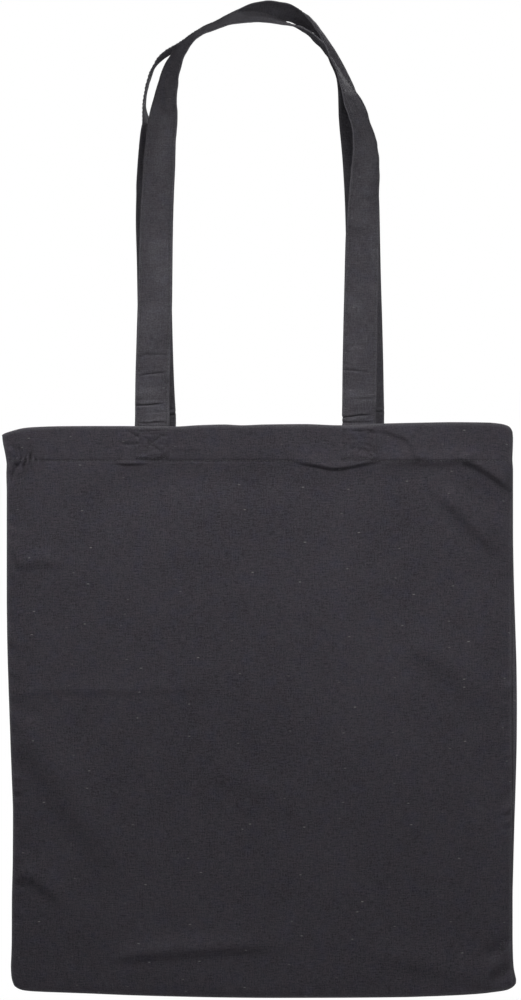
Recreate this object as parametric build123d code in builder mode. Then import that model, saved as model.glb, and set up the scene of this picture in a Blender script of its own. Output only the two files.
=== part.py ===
from build123d import *
import math
import os

# Canvas tote bag: a flat two-panel shopper hanging by its two long shoulder handles.
# Millimetres. +Z is up, X runs along the mouth and the front faces -Y.
# The origin is on the underside of the back handle's crown, where a hook carries the bag.

# ---- driving dimensions ----------------------------------------------------
bag_width = 376.0          # across the side seams
bag_height = 425.7         # mouth edge to bottom seam
mouth_z = -308.7           # height of the mouth edge below the hook
seam_y = -14.0             # plane of the two side seams
cloth_t = 1.0              # canvas with its crumple, as one layer
side_gap = 1.2             # half the gap between the panels at a side seam
mouth_bulge = 16.0         # how far each panel stands off the seam plane at the mouth
bottom_bulge = 0.6         # the same at the bottom seam
hem_depth = 26.0           # turned-in hem round the mouth
hem_t = 0.8
strap_w = 25.0             # handle webbing, folded canvas
strap_t = 1.6
seam_allowance = 8.0
thread_w = 0.6
thread_t = 0.3
box_stitch = 21.6          # side of the crossed square that fixes a handle's end

half_w = bag_width / 2
bottom_z = mouth_z - bag_height

# Routes of the two handles: points on the centre line, each with the direction of the strap's width.
# The straps face forward at the hem and turn on edge over the crown, where they lie side by side.
front_route = [
    ((-81.2, -26.6, -308.3), (1.00, -0.10, 0.00)),
    ((-80.8, -26.6, -274.8), (0.99, -0.11, 0.00)),
    ((-79.0, -26.5, -215.2), (0.99, -0.14, 0.00)),
    ((-77.9, -26.4, -155.6), (0.96, -0.26, 0.00)),
    ((-76.5, -26.4, -125.8), (0.95, -0.33, -0.00)),
    ((-75.4, -26.3, -103.4), (0.92, -0.40, -0.02)),
    ((-73.9, -26.3, -87.8), (0.87, -0.50, -0.05)),
    ((-72.5, -26.3, -75.1), (0.78, -0.62, -0.08)),
    ((-70.8, -26.3, -62.4), (0.68, -0.72, -0.11)),
    ((-66.9, -26.3, -43.4), (0.53, -0.84, -0.11)),
    ((-60.3, -26.2, -28.5), (0.40, -0.91, -0.10)),
    ((-54.4, -26.2, -22.0), (0.30, -0.94, -0.15)),
    ((-45.4, -26.2, -15.7), (0.22, -0.95, -0.21)),
    ((-34.6, -26.2, -11.1), (0.16, -0.95, -0.28)),
    ((-24.2, -26.2, -6.9), (0.13, -0.93, -0.33)),
    ((-14.5, -26.2, -5.0), (0.09, -0.93, -0.37)),
    ((-4.1, -26.2, -4.3), (0.04, -0.93, -0.35)),
    ((5.2, -26.2, -5.2), (0.00, -0.96, -0.29)),
    ((13.8, -26.2, -7.3), (-0.01, -0.98, -0.18)),
    ((22.0, -26.2, -9.2), (0.01, -1.00, -0.05)),
    ((30.7, -26.2, -13.4), (0.07, -1.00, 0.04)),
    ((39.9, -26.2, -19.2), (0.11, -0.99, 0.09)),
    ((46.6, -26.2, -26.5), (0.11, -0.99, 0.08)),
    ((51.6, -26.2, -35.1), (0.02, -1.00, 0.05)),
    ((57.4, -26.3, -43.8), (-0.13, -0.99, -0.01)),
    ((61.2, -26.3, -53.4), (-0.30, -0.95, -0.06)),
    ((64.9, -26.3, -59.6), (-0.45, -0.89, -0.08)),
    ((69.5, -26.3, -69.5), (-0.55, -0.83, -0.07)),
    ((74.1, -26.3, -82.2), (-0.63, -0.77, -0.04)),
    ((77.1, -26.3, -94.5), (-0.70, -0.71, -0.01)),
    ((77.9, -26.3, -107.9), (-0.78, -0.62, -0.00)),
    ((77.5, -26.4, -122.8), (-0.86, -0.51, 0.00)),
    ((76.3, -26.4, -144.4), (-0.92, -0.39, 0.00)),
    ((75.4, -26.4, -170.5), (-0.96, -0.28, 0.00)),
    ((74.2, -26.5, -230.1), (-0.99, -0.15, 0.00)),
    ((73.1, -26.6, -308.3), (-0.99, -0.15, 0.00)),
]
back_route = [
    ((-76.3, -1.4, -308.3), (0.99, 0.12, 0.00)),
    ((-77.7, -1.2, -274.8), (0.99, 0.12, 0.00)),
    ((-79.3, -1.0, -215.2), (0.99, 0.14, 0.00)),
    ((-80.7, -0.7, -155.6), (0.96, 0.26, 0.00)),
    ((-80.8, -0.6, -125.8), (0.91, 0.41, -0.00)),
    ((-81.0, -0.5, -103.4), (0.79, 0.61, -0.01)),
    ((-82.7, -0.4, -90.4), (0.59, 0.81, -0.02)),
    ((-86.2, -0.4, -79.9), (0.35, 0.94, -0.03)),
    ((-85.9, -0.3, -64.3), (0.12, 0.99, -0.03)),
    ((-83.6, -0.2, -51.6), (0.10, 0.99, -0.04)),
    ((-80.8, -0.2, -42.3), (0.10, 0.99, -0.07)),
    ((-73.0, -0.2, -33.7), (0.12, 0.98, -0.13)),
    ((-66.7, -0.1, -29.5), (0.13, 0.98, -0.15)),
    ((-58.9, -0.1, -24.1), (0.13, 0.98, -0.16)),
    ((-49.9, -0.1, -18.5), (0.13, 0.98, -0.18)),
    ((-39.9, -0.1, -13.0), (0.13, 0.97, -0.22)),
    ((-28.3, -0.0, -7.7), (0.12, 0.96, -0.27)),
    ((-19.7, -0.0, -3.9), (0.09, 0.94, -0.33)),
    ((-3.9, -0.0, 0.7), (0.02, 0.89, -0.46)),
    ((12.5, -0.0, 0.3), (-0.08, 0.86, -0.51)),
    ((19.7, -0.0, -1.0), (-0.14, 0.86, -0.49)),
    ((25.1, -0.0, -2.8), (-0.18, 0.89, -0.42)),
    ((30.4, -0.0, -6.2), (-0.19, 0.92, -0.33)),
    ((36.3, -0.1, -11.4), (-0.20, 0.95, -0.23)),
    ((41.9, -0.1, -17.7), (-0.22, 0.96, -0.16)),
    ((47.1, -0.1, -23.9), (-0.23, 0.97, -0.12)),
    ((52.2, -0.1, -31.3), (-0.25, 0.96, -0.11)),
    ((56.4, -0.2, -39.3), (-0.31, 0.95, -0.10)),
    ((60.7, -0.2, -49.0), (-0.42, 0.90, -0.08)),
    ((63.5, -0.3, -59.5), (-0.57, 0.82, -0.05)),
    ((66.1, -0.3, -70.3), (-0.73, 0.68, -0.03)),
    ((69.1, -0.4, -84.0), (-0.87, 0.50, -0.00)),
    ((71.9, -0.5, -99.3), (-0.94, 0.33, 0.02)),
    ((74.0, -0.5, -119.4), (-0.98, 0.21, 0.03)),
    ((75.4, -0.7, -144.0), (-0.99, 0.16, 0.02)),
    ((76.0, -0.8, -170.5), (-0.99, 0.14, 0.01)),
    ((77.4, -1.0, -230.1), (-0.99, 0.13, 0.00)),
    ((78.9, -1.4, -308.3), (-0.99, 0.12, 0.00)),
]

os.makedirs("parts", exist_ok=True)


def bulge_at(z):
    """How far a panel stands off the seam plane at its middle, at height z."""
    share = (z - bottom_z) / bag_height
    return bottom_bulge + (mouth_bulge - bottom_bulge) * share


def arc_points(side, z, off, x0, x1):
    """Three points of the panel's arc at height z; side is -1 for the front, and off is measured outwards from the inner face."""
    b = bulge_at(z)
    r = (half_w**2 + b**2) / (2 * b)

    def y(x):
        return seam_y + side * (side_gap + b - r + math.sqrt((r + off) ** 2 - x**2))

    xm = (x0 + x1) / 2
    return (x0, y(x0)), (xm, y(xm)), (x1, y(x1))


def face_y(side, x, z, off):
    """Y of the surface that lies off outwards from a panel's inner face."""
    return arc_points(side, z, off, x, x)[0][1]


def strap_planes(route, shift=0.0, lift=0.0, outer=1):
    """Section planes square to a handle's route. shift is along the width, lift is towards the outer face."""
    centres = [Vector(*p) for p, _ in route]
    planes = []
    for i, (p, w) in enumerate(route):
        a = centres[max(i - 1, 0)]
        b = centres[min(i + 1, len(centres) - 1)]
        along = (b - a).normalized()
        if i in (0, len(centres) - 1):
            along = Vector(0, 0, 1 if i == 0 else -1)
        width = Vector(*w)
        width = (width - along * width.dot(along)).normalized()
        normal = along.cross(width) * outer
        planes.append(
            Plane(
                origin=centres[i] + width * shift + normal * lift,
                x_dir=width,
                z_dir=along,
            )
        )
    return planes


# ---- bag body: two panels ---------------------------------------------------
with BuildPart() as front_panel:
    for z in (bottom_z, mouth_z):
        with BuildSketch(Plane.XY.offset(z)):
            with BuildLine():
                i0, im, i1 = arc_points(-1, z, 0, -half_w, half_w)
                o0, om, o1 = arc_points(-1, z, cloth_t, -half_w, half_w)
                ThreePointArc(i0, im, i1)
                Line(i1, o1)
                ThreePointArc(o1, om, o0)
                Line(o0, i0)
            make_face()
    loft(ruled=True)

with BuildPart() as back_panel:
    for z in (bottom_z, mouth_z):
        with BuildSketch(Plane.XY.offset(z)):
            with BuildLine():
                i0, im, i1 = arc_points(1, z, 0, -half_w, half_w)
                o0, om, o1 = arc_points(1, z, cloth_t, -half_w, half_w)
                ThreePointArc(i0, im, i1)
                Line(i1, o1)
                ThreePointArc(o1, om, o0)
                Line(o0, i0)
            make_face()
    loft(ruled=True)

# ---- turned-in hems: the second layer of cloth inside the mouth --------------
hem_gap = 0.15
hem_half = half_w - seam_allowance - 1.5

with BuildPart() as front_hem:
    for z in (mouth_z - hem_depth, mouth_z):
        with BuildSketch(Plane.XY.offset(z)):
            with BuildLine():
                o0, om, o1 = arc_points(-1, z, -hem_gap, -hem_half, hem_half)
                i0, im, i1 = arc_points(-1, z, -hem_gap - hem_t, -hem_half, hem_half)
                ThreePointArc(i0, im, i1)
                Line(i1, o1)
                ThreePointArc(o1, om, o0)
                Line(o0, i0)
            make_face()
    loft(ruled=True)

with BuildPart() as back_hem:
    for z in (mouth_z - hem_depth, mouth_z):
        with BuildSketch(Plane.XY.offset(z)):
            with BuildLine():
                o0, om, o1 = arc_points(1, z, -hem_gap, -hem_half, hem_half)
                i0, im, i1 = arc_points(1, z, -hem_gap - hem_t, -hem_half, hem_half)
                ThreePointArc(i0, im, i1)
                Line(i1, o1)
                ThreePointArc(o1, om, o0)
                Line(o0, i0)
            make_face()
    loft(ruled=True)

# ---- seam allowances inside the bag -----------------------------------------
seam_front = seam_y - 0.6
seam_back = seam_y + 1.1
seam_thick = seam_back - seam_front
seam_mid = (seam_front + seam_back) / 2

with BuildPart() as left_side_seam:
    with BuildSketch(Plane.XY.offset(bottom_z + 1.0)):
        with Locations((-half_w + seam_allowance / 2, seam_mid)):
            Rectangle(seam_allowance, seam_thick)
    extrude(amount=bag_height - 1.6)

with BuildPart() as right_side_seam:
    with BuildSketch(Plane.XY.offset(bottom_z + 1.0)):
        with Locations((half_w - seam_allowance / 2, seam_mid)):
            Rectangle(seam_allowance, seam_thick)
    extrude(amount=bag_height - 1.6)

with BuildPart() as bottom_seam:
    with BuildSketch(Plane.XY.offset(bottom_z + 1.0)):
        with Locations((0, seam_mid)):
            Rectangle(bag_width - 2 * seam_allowance - 0.6, seam_thick)
    extrude(amount=seam_allowance)

# Overlock thread that binds each seam allowance's free edge.
lock = 0.7
with BuildPart() as left_seam_overlock:
    with BuildSketch(Plane.XY.offset(bottom_z + seam_allowance + 2.0)):
        with Locations((-half_w + seam_allowance + 0.1 + lock / 2, seam_mid)):
            Rectangle(lock, seam_thick)
    extrude(amount=bag_height - seam_allowance - 4.0)

with BuildPart() as right_seam_overlock:
    with BuildSketch(Plane.XY.offset(bottom_z + seam_allowance + 2.0)):
        with Locations((half_w - seam_allowance - 0.1 - lock / 2, seam_mid)):
            Rectangle(lock, seam_thick)
    extrude(amount=bag_height - seam_allowance - 4.0)

with BuildPart() as bottom_seam_overlock:
    with BuildSketch(Plane.XY.offset(bottom_z + 1.0 + seam_allowance + 0.1)):
        with Locations((0, seam_mid)):
            Rectangle(bag_width - 2 * seam_allowance - 6.0, seam_thick)
    extrude(amount=lock)

# ---- handles ------------------------------------------------------------------
with BuildPart() as front_handle:
    for plane in strap_planes(front_route):
        with BuildSketch(plane):
            Rectangle(strap_w, strap_t)
    loft(ruled=True)

with BuildPart() as back_handle:
    for plane in strap_planes(back_route):
        with BuildSketch(plane):
            Rectangle(strap_w, strap_t)
    loft(ruled=True)

# Rows of thread along both edges of each strap, on its outer face.
edge_row = strap_w / 2 - 2.2
thread_lift = strap_t / 2 + 0.1 + thread_t / 2

with BuildPart() as front_handle_stitching:
    for shift in (-edge_row, edge_row):
        for plane in strap_planes(front_route, shift, thread_lift, -1):
            with BuildSketch(plane):
                Rectangle(thread_w, thread_t)
        loft(ruled=True)

with BuildPart() as back_handle_stitching:
    for shift in (-edge_row, edge_row):
        for plane in strap_planes(back_route, shift, thread_lift, 1):
            with BuildSketch(plane):
                Rectangle(thread_w, thread_t)
        loft(ruled=True)

# ---- sewn ends of the handles, flat against the inside of the hems -------------
end_off = -hem_gap - hem_t - 0.15
end_top = mouth_z
end_low = mouth_z - hem_depth + 1.0


front_left_x = front_route[0][0][0]
front_right_x = front_route[-1][0][0]
back_left_x = back_route[0][0][0]
back_right_x = back_route[-1][0][0]

with BuildPart() as front_handle_left_end:
    for z in (end_low, end_top):
        with BuildSketch(Plane.XY.offset(z)):
            with BuildLine():
                x0, x1 = front_left_x - strap_w / 2, front_left_x + strap_w / 2
                o0, om, o1 = arc_points(-1, z, end_off, x0, x1)
                i0, im, i1 = arc_points(-1, z, end_off - strap_t, x0, x1)
                ThreePointArc(i0, im, i1)
                Line(i1, o1)
                ThreePointArc(o1, om, o0)
                Line(o0, i0)
            make_face()
    loft(ruled=True)

with BuildPart() as front_handle_right_end:
    for z in (end_low, end_top):
        with BuildSketch(Plane.XY.offset(z)):
            with BuildLine():
                x0, x1 = front_right_x - strap_w / 2, front_right_x + strap_w / 2
                o0, om, o1 = arc_points(-1, z, end_off, x0, x1)
                i0, im, i1 = arc_points(-1, z, end_off - strap_t, x0, x1)
                ThreePointArc(i0, im, i1)
                Line(i1, o1)
                ThreePointArc(o1, om, o0)
                Line(o0, i0)
            make_face()
    loft(ruled=True)

with BuildPart() as back_handle_left_end:
    for z in (end_low, end_top):
        with BuildSketch(Plane.XY.offset(z)):
            with BuildLine():
                x0, x1 = back_left_x - strap_w / 2, back_left_x + strap_w / 2
                o0, om, o1 = arc_points(1, z, end_off, x0, x1)
                i0, im, i1 = arc_points(1, z, end_off - strap_t, x0, x1)
                ThreePointArc(i0, im, i1)
                Line(i1, o1)
                ThreePointArc(o1, om, o0)
                Line(o0, i0)
            make_face()
    loft(ruled=True)

with BuildPart() as back_handle_right_end:
    for z in (end_low, end_top):
        with BuildSketch(Plane.XY.offset(z)):
            with BuildLine():
                x0, x1 = back_right_x - strap_w / 2, back_right_x + strap_w / 2
                o0, om, o1 = arc_points(1, z, end_off, x0, x1)
                i0, im, i1 = arc_points(1, z, end_off - strap_t, x0, x1)
                ThreePointArc(i0, im, i1)
                Line(i1, o1)
                ThreePointArc(o1, om, o0)
                Line(o0, i0)
            make_face()
    loft(ruled=True)

# ---- thread on the outside of the bag -------------------------------------------
stitch_z = mouth_z - hem_depth - 0.3


row_off = cloth_t + 0.15

with BuildPart() as front_hem_stitching:
    with BuildSketch(Plane.XY.offset(stitch_z)):
        with BuildLine():
            i0, im, i1 = arc_points(-1, stitch_z, row_off, -half_w + 2, half_w - 2)
            o0, om, o1 = arc_points(-1, stitch_z, row_off + thread_t, -half_w + 2, half_w - 2)
            ThreePointArc(i0, im, i1)
            Line(i1, o1)
            ThreePointArc(o1, om, o0)
            Line(o0, i0)
        make_face()
    extrude(amount=thread_w)

with BuildPart() as back_hem_stitching:
    with BuildSketch(Plane.XY.offset(stitch_z)):
        with BuildLine():
            i0, im, i1 = arc_points(1, stitch_z, row_off, -half_w + 2, half_w - 2)
            o0, om, o1 = arc_points(1, stitch_z, row_off + thread_t, -half_w + 2, half_w - 2)
            ThreePointArc(i0, im, i1)
            Line(i1, o1)
            ThreePointArc(o1, om, o0)
            Line(o0, i0)
        make_face()
    extrude(amount=thread_w)

cross_z = mouth_z - 3.0 - box_stitch / 2


def cross_plane(side, xc):
    """Plane just off a panel's outer face, for a crossed square of stitching."""
    off = cloth_t + 0.2
    dx = (face_y(side, xc + 1, cross_z, off) - face_y(side, xc - 1, cross_z, off)) / 2
    dz = (face_y(side, xc, cross_z + 1, off) - face_y(side, xc, cross_z - 1, off)) / 2
    normal = Vector(-dx, 1, -dz) * side
    return Plane(
        origin=(xc, face_y(side, xc, cross_z, off), cross_z),
        x_dir=(-side, -side * dx, 0),
        z_dir=normal,
    )


box_inner = box_stitch - 2 * thread_w
box_diagonal = box_stitch * 1.36

with BuildPart() as front_left_cross_stitch:
    with BuildSketch(cross_plane(-1, front_left_x)):
        Rectangle(box_stitch, box_stitch)
        Rectangle(box_inner, box_inner, mode=Mode.SUBTRACT)
        Rectangle(box_diagonal, thread_w, rotation=45)
        Rectangle(box_diagonal, thread_w, rotation=-45)
    extrude(amount=thread_t)

with BuildPart() as front_right_cross_stitch:
    with BuildSketch(cross_plane(-1, front_right_x)):
        Rectangle(box_stitch, box_stitch)
        Rectangle(box_inner, box_inner, mode=Mode.SUBTRACT)
        Rectangle(box_diagonal, thread_w, rotation=45)
        Rectangle(box_diagonal, thread_w, rotation=-45)
    extrude(amount=thread_t)

with BuildPart() as back_left_cross_stitch:
    with BuildSketch(cross_plane(1, back_left_x)):
        Rectangle(box_stitch, box_stitch)
        Rectangle(box_inner, box_inner, mode=Mode.SUBTRACT)
        Rectangle(box_diagonal, thread_w, rotation=45)
        Rectangle(box_diagonal, thread_w, rotation=-45)
    extrude(amount=thread_t)

with BuildPart() as back_right_cross_stitch:
    with BuildSketch(cross_plane(1, back_right_x)):
        Rectangle(box_stitch, box_stitch)
        Rectangle(box_inner, box_inner, mode=Mode.SUBTRACT)
        Rectangle(box_diagonal, thread_w, rotation=45)
        Rectangle(box_diagonal, thread_w, rotation=-45)
    extrude(amount=thread_t)

# ---- write one STEP file per piece -----------------------------------------------
pieces = {
    "front_panel": front_panel,
    "back_panel": back_panel,
    "front_hem": front_hem,
    "back_hem": back_hem,
    "left_side_seam": left_side_seam,
    "right_side_seam": right_side_seam,
    "bottom_seam": bottom_seam,
    "left_seam_overlock": left_seam_overlock,
    "right_seam_overlock": right_seam_overlock,
    "bottom_seam_overlock": bottom_seam_overlock,
    "front_handle": front_handle,
    "back_handle": back_handle,
    "front_handle_stitching": front_handle_stitching,
    "back_handle_stitching": back_handle_stitching,
    "front_handle_left_end": front_handle_left_end,
    "front_handle_right_end": front_handle_right_end,
    "back_handle_left_end": back_handle_left_end,
    "back_handle_right_end": back_handle_right_end,
    "front_hem_stitching": front_hem_stitching,
    "back_hem_stitching": back_hem_stitching,
    "front_left_cross_stitch": front_left_cross_stitch,
    "front_right_cross_stitch": front_right_cross_stitch,
    "back_left_cross_stitch": back_left_cross_stitch,
    "back_right_cross_stitch": back_right_cross_stitch,
}
for name, piece in pieces.items():
    piece.part.label = name
    export_step(piece.part, f"parts/{name}.step")
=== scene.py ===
import math

import bmesh
import bpy
import numpy as np
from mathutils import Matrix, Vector


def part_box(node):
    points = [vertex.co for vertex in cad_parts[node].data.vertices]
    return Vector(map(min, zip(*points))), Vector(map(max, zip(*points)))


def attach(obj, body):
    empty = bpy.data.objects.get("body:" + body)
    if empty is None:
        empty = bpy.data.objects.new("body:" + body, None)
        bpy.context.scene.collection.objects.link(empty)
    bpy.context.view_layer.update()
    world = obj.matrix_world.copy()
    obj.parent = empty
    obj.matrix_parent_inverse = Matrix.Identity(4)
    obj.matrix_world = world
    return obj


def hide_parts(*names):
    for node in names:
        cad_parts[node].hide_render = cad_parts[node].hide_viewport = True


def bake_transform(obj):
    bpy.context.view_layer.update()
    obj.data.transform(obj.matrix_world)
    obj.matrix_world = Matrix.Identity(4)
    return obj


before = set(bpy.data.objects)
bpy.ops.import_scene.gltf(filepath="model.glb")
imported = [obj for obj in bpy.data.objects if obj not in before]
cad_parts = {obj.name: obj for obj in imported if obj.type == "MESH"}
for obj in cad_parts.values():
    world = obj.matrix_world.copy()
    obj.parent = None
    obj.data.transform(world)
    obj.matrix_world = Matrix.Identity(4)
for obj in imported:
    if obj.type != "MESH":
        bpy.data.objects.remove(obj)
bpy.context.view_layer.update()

# ---------------------------------------------------------------------------
# Places, in millimetres in the part's own frame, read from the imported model.
MM = 0.001
panel_lo, panel_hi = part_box("front_panel")
MOUTH = panel_hi.z / MM
BOTTOM = panel_lo.z / MM
HALF = panel_hi.x / MM
SEAM_Y = (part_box("back_panel")[0].y + panel_hi.y) / 2 / MM
HEM_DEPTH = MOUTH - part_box("front_hem")[0].z / MM

CAM_DIST = 10.0
CAM_X, CAM_Z, CAM_REF_Y = -0.0004, -0.36415, -0.028
VIEW_W = 0.745

CLOTH = 0.75     # thickness of the canvas
FOLD_R = 0.58    # half the distance between the two layers of the hem
GAP = 1.2
STRAP_T = 1.45
STRAP_W = 25.0
STITCH_Z = MOUTH - HEM_DEPTH - 0.1

# ---------------------------------------------------------------------------
# Small numeric helpers
NAN = float("nan")


def pchip(x, xs, ys):
    """Smooth monotone interpolation of a table."""
    xs, ys = np.asarray(xs, float), np.asarray(ys, float)
    h, d = np.diff(xs), np.diff(ys) / np.diff(xs)
    m = np.zeros(len(xs))
    w1, w2 = 2 * h[1:] + h[:-1], h[1:] + 2 * h[:-1]
    same = d[1:] * d[:-1] > 0
    with np.errstate(divide="ignore", invalid="ignore"):
        mid = (w1 + w2) / (w1 / d[:-1] + w2 / d[1:])
    m[1:-1] = np.where(same, np.nan_to_num(mid), 0)
    m[0], m[-1] = d[0], d[-1]
    x = np.clip(np.asarray(x, float), xs[0], xs[-1])
    i = np.clip(np.searchsorted(xs, x) - 1, 0, len(xs) - 2)
    t = (x - xs[i]) / h[i]
    return (
        ys[i] * (1 + 2 * t) * (1 - t) ** 2
        + ys[i + 1] * t * t * (3 - 2 * t)
        + h[i] * (m[i] * t * (1 - t) ** 2 + m[i + 1] * t * t * (t - 1))
    )


def smooth(t):
    t = np.clip(t, 0, 1)
    return t * t * (3 - 2 * t)


def _lattice(ix, iy, seed):
    h = (ix * 374761393 + iy * 668265263 + seed * 2147483647) & 0xFFFFFFFF
    h = ((h ^ (h >> 13)) * 1274126177) & 0xFFFFFFFF
    return ((h ^ (h >> 16)) & 0xFFFFFF) / float(0xFFFFFF) * 2 - 1


def noise(x, y, seed=0):
    """Smooth value noise from -1 to 1."""
    x, y = np.asarray(x, float), np.asarray(y, float)
    ix, iy = np.floor(x).astype(np.int64), np.floor(y).astype(np.int64)
    fx, fy = x - ix, y - iy
    fx, fy = fx**3 * (fx * (fx * 6 - 15) + 10), fy**3 * (fy * (fy * 6 - 15) + 10)
    a, b = _lattice(ix, iy, seed), _lattice(ix + 1, iy, seed)
    c, d = _lattice(ix, iy + 1, seed), _lattice(ix + 1, iy + 1, seed)
    return (a * (1 - fx) + b * fx) * (1 - fy) + (c * (1 - fx) + d * fx) * fy


def along(x, z, path):
    """Signed distance to a path (positive on its left) and how far along it, 0 to 1, for arrays of points."""
    path = np.asarray(path, float)
    seg = np.r_[0, np.cumsum(np.hypot(*np.diff(path, axis=0).T))]
    n = max(2, int(seg[-1] / 2.5))
    q = np.linspace(0, seg[-1], n)
    pts = np.stack([pchip(q, seg, path[:, 0]), pchip(q, seg, path[:, 1])], 1)
    best = np.full(x.shape, 1e9)
    side = np.ones(x.shape)
    t = np.zeros(x.shape)
    for i in range(len(pts) - 1):
        a, d = pts[i], pts[i + 1] - pts[i]
        k = np.clip(((x - a[0]) * d[0] + (z - a[1]) * d[1]) / (d @ d), 0, 1)
        px, pz = x - a[0] - k * d[0], z - a[1] - k * d[1]
        dist = np.hypot(px, pz)
        nearer = dist < best
        best = np.where(nearer, dist, best)
        side = np.where(nearer, np.sign(d[0] * pz - d[1] * px + 1e-12), side)
        t = np.where(nearer, (i + k) / (len(pts) - 1), t)
    return best * side, t


def fold(x, z, path, amp, left, right, ends=(0.3, 0.3)):
    """A soft ridge (or valley, with amp below 0) along a path, with its own width on each side and fading ends."""
    d, t = along(x, z, path)
    shape = np.where(d > 0, np.exp(-((d / left) ** 2)), np.exp(-((d / right) ** 2)))
    fade = smooth(t / max(ends[0], 1e-6)) * smooth((1 - t) / max(ends[1], 1e-6))
    return amp * shape * fade


def dent(x, z, cx, cz, rx, rz, amp, turn=0.0):
    c, s = math.cos(turn), math.sin(turn)
    u, v = (x - cx) * c + (z - cz) * s, -(x - cx) * s + (z - cz) * c
    return amp * np.exp(-((u / rx) ** 2) - ((v / rz) ** 2))


# ---------------------------------------------------------------------------
# The bag's outline, as it hangs: (x, z) in millimetres
LEFT = [(-183.87, -726.67), (-185.06, -723.99), (-186.1, -719.89), (-186.55, -712.07), (-186.18, -703.13), (-185.88, -691.96), (-185.8, -662.16), (-185.13, -632.36), (-184.98, -598.83), (-185.8, -572.76), (-186.62, -551.9), (-187.37, -529.55), (-188.11, -508.69), (-188.86, -484.85), (-189.38, -461.01), (-189.6, -431.21), (-189.6, -386.51), (-189.6, -358.2), (-189.9, -344.79), (-189.68, -337.34), (-190.27, -332.12), (-191.32, -326.16), (-192.43, -320.95), (-193.1, -314.99)]
RIGHT = [(188.78, -726.52), (190.12, -724.29), (190.2, -721.61), (189.38, -718.03), (188.48, -713.56), (187.89, -705.37), (187.59, -688.23), (187.59, -662.16), (188.19, -633.85), (189.01, -602.56), (189.97, -572.76), (190.65, -542.96), (190.79, -516.88), (190.57, -492.3), (189.97, -469.95), (189.08, -443.13), (188.34, -416.31), (187.89, -386.51), (187.89, -356.71), (187.89, -341.81), (187.44, -333.61), (187.74, -325.42), (187.89, -317.97), (187.59, -312.75)]
TOP = [(-193.1, -314.99), (-187.74, -313.2), (-181.78, -311.48), (-177.31, -310.52), (-169.86, -309.77), (-145.28, -309.03), (-119.94, -308.95), (-95.36, -309.03), (-63.33, -309.32), (-46.19, -308.36), (-27.57, -307.83), (-14.15, -308.43), (2.98, -307.83), (32.78, -307.54), (58.11, -308.43), (75.25, -307.83), (92.38, -307.09), (103.55, -306.79), (120.69, -306.42), (143.78, -306.05), (169.86, -306.34), (178.06, -307.09), (183.27, -308.28), (186.25, -310.37), (187.59, -312.75)]
FOOT = [(-183.87, -726.67), (-181.41, -728.39), (-178.06, -729.65), (-172.09, -730.47), (-164.65, -730.92), (-151.23, -731.44), (-130.38, -732.19), (-97.59, -733.53), (-60.34, -734.57), (-26.82, -735.24), (6.71, -735.54), (51.41, -735.46), (103.55, -735.02), (126.65, -734.35), (149.0, -733.38), (163.16, -732.41), (175.82, -730.92), (183.27, -729.65), (186.62, -728.16), (188.78, -726.52)]
SEAM_R = [(188.34, -725.93), (188.04, -721.76), (187.44, -714.31), (186.85, -703.13), (186.7, -684.51), (186.7, -662.16), (187.0, -632.36), (187.44, -587.66), (187.44, -542.96), (187.29, -505.71), (187.14, -468.46), (187.14, -438.66), (187.14, -408.86), (187.14, -386.51), (187.29, -356.71), (187.29, -341.81), (186.85, -333.61), (187.14, -325.42), (187.37, -317.97), (187.22, -312.75)]


def table(points, axis):
    """Sorted (key, value) columns of an outline, keyed by x (0) or z (1)."""
    p = np.asarray(sorted(points, key=lambda q: q[axis]), float)
    return p[:, axis], p[:, 1 - axis]


def outline(s, v, right=RIGHT):
    """Point of the bag's face at s across (0 left, 1 right) and v up (0 foot, 1 mouth)."""
    lz, lx = table(LEFT, 1)
    rz, rx = table(right, 1)
    bx, bz = table(FOOT, 0)
    tx, tz = table(TOP, 0)
    l_z = lz[0] + (lz[-1] - lz[0]) * v
    r_z = rz[0] + (rz[-1] - rz[0]) * v
    L = np.stack([pchip(l_z, lz, lx), l_z], -1)
    R = np.stack([pchip(r_z, rz, rx), r_z], -1)
    x_b = bx[0] + (bx[-1] - bx[0]) * s
    x_t = tx[0] + (tx[-1] - tx[0]) * s
    B = np.stack([x_b, pchip(x_b, bx, bz)], -1)
    T = np.stack([x_t, pchip(x_t, tx, tz)], -1)
    bl, br = np.array([bx[0], bz[0]]), np.array([bx[-1], bz[-1]])
    tl, tr = np.array([tx[0], tz[0]]), np.array([tx[-1], tz[-1]])
    S, V = s[..., None], v[..., None]
    P = (1 - S) * L + S * R + (1 - V) * B + V * T
    P = P - ((1 - S) * (1 - V) * bl + S * (1 - V) * br + (1 - S) * V * tl + S * V * tr)
    return P[..., 0], P[..., 1]


LZ, LX = table(LEFT, 1)
RZ, RX = table(RIGHT, 1)
BX, BZ = table(FOOT, 0)


def room_at(x, z):
    """Distance of a point of the face from the side edges and from the foot."""
    return np.minimum(x - pchip(z, LZ, LX), pchip(z, RZ, RX) - x), z - pchip(x, BX, BZ)


# ---------------------------------------------------------------------------
# The relief of each panel, in millimetres outwards. It moves all layers together.
FL_X = (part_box("front_handle_left_end")[0].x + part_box("front_handle_left_end")[1].x) / 2 / MM
FR_X = (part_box("front_handle_right_end")[0].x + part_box("front_handle_right_end")[1].x) / 2 / MM
BL_X = (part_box("back_handle_left_end")[0].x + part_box("back_handle_left_end")[1].x) / 2 / MM
BR_X = (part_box("back_handle_right_end")[0].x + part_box("back_handle_right_end")[1].x) / 2 / MM


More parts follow.
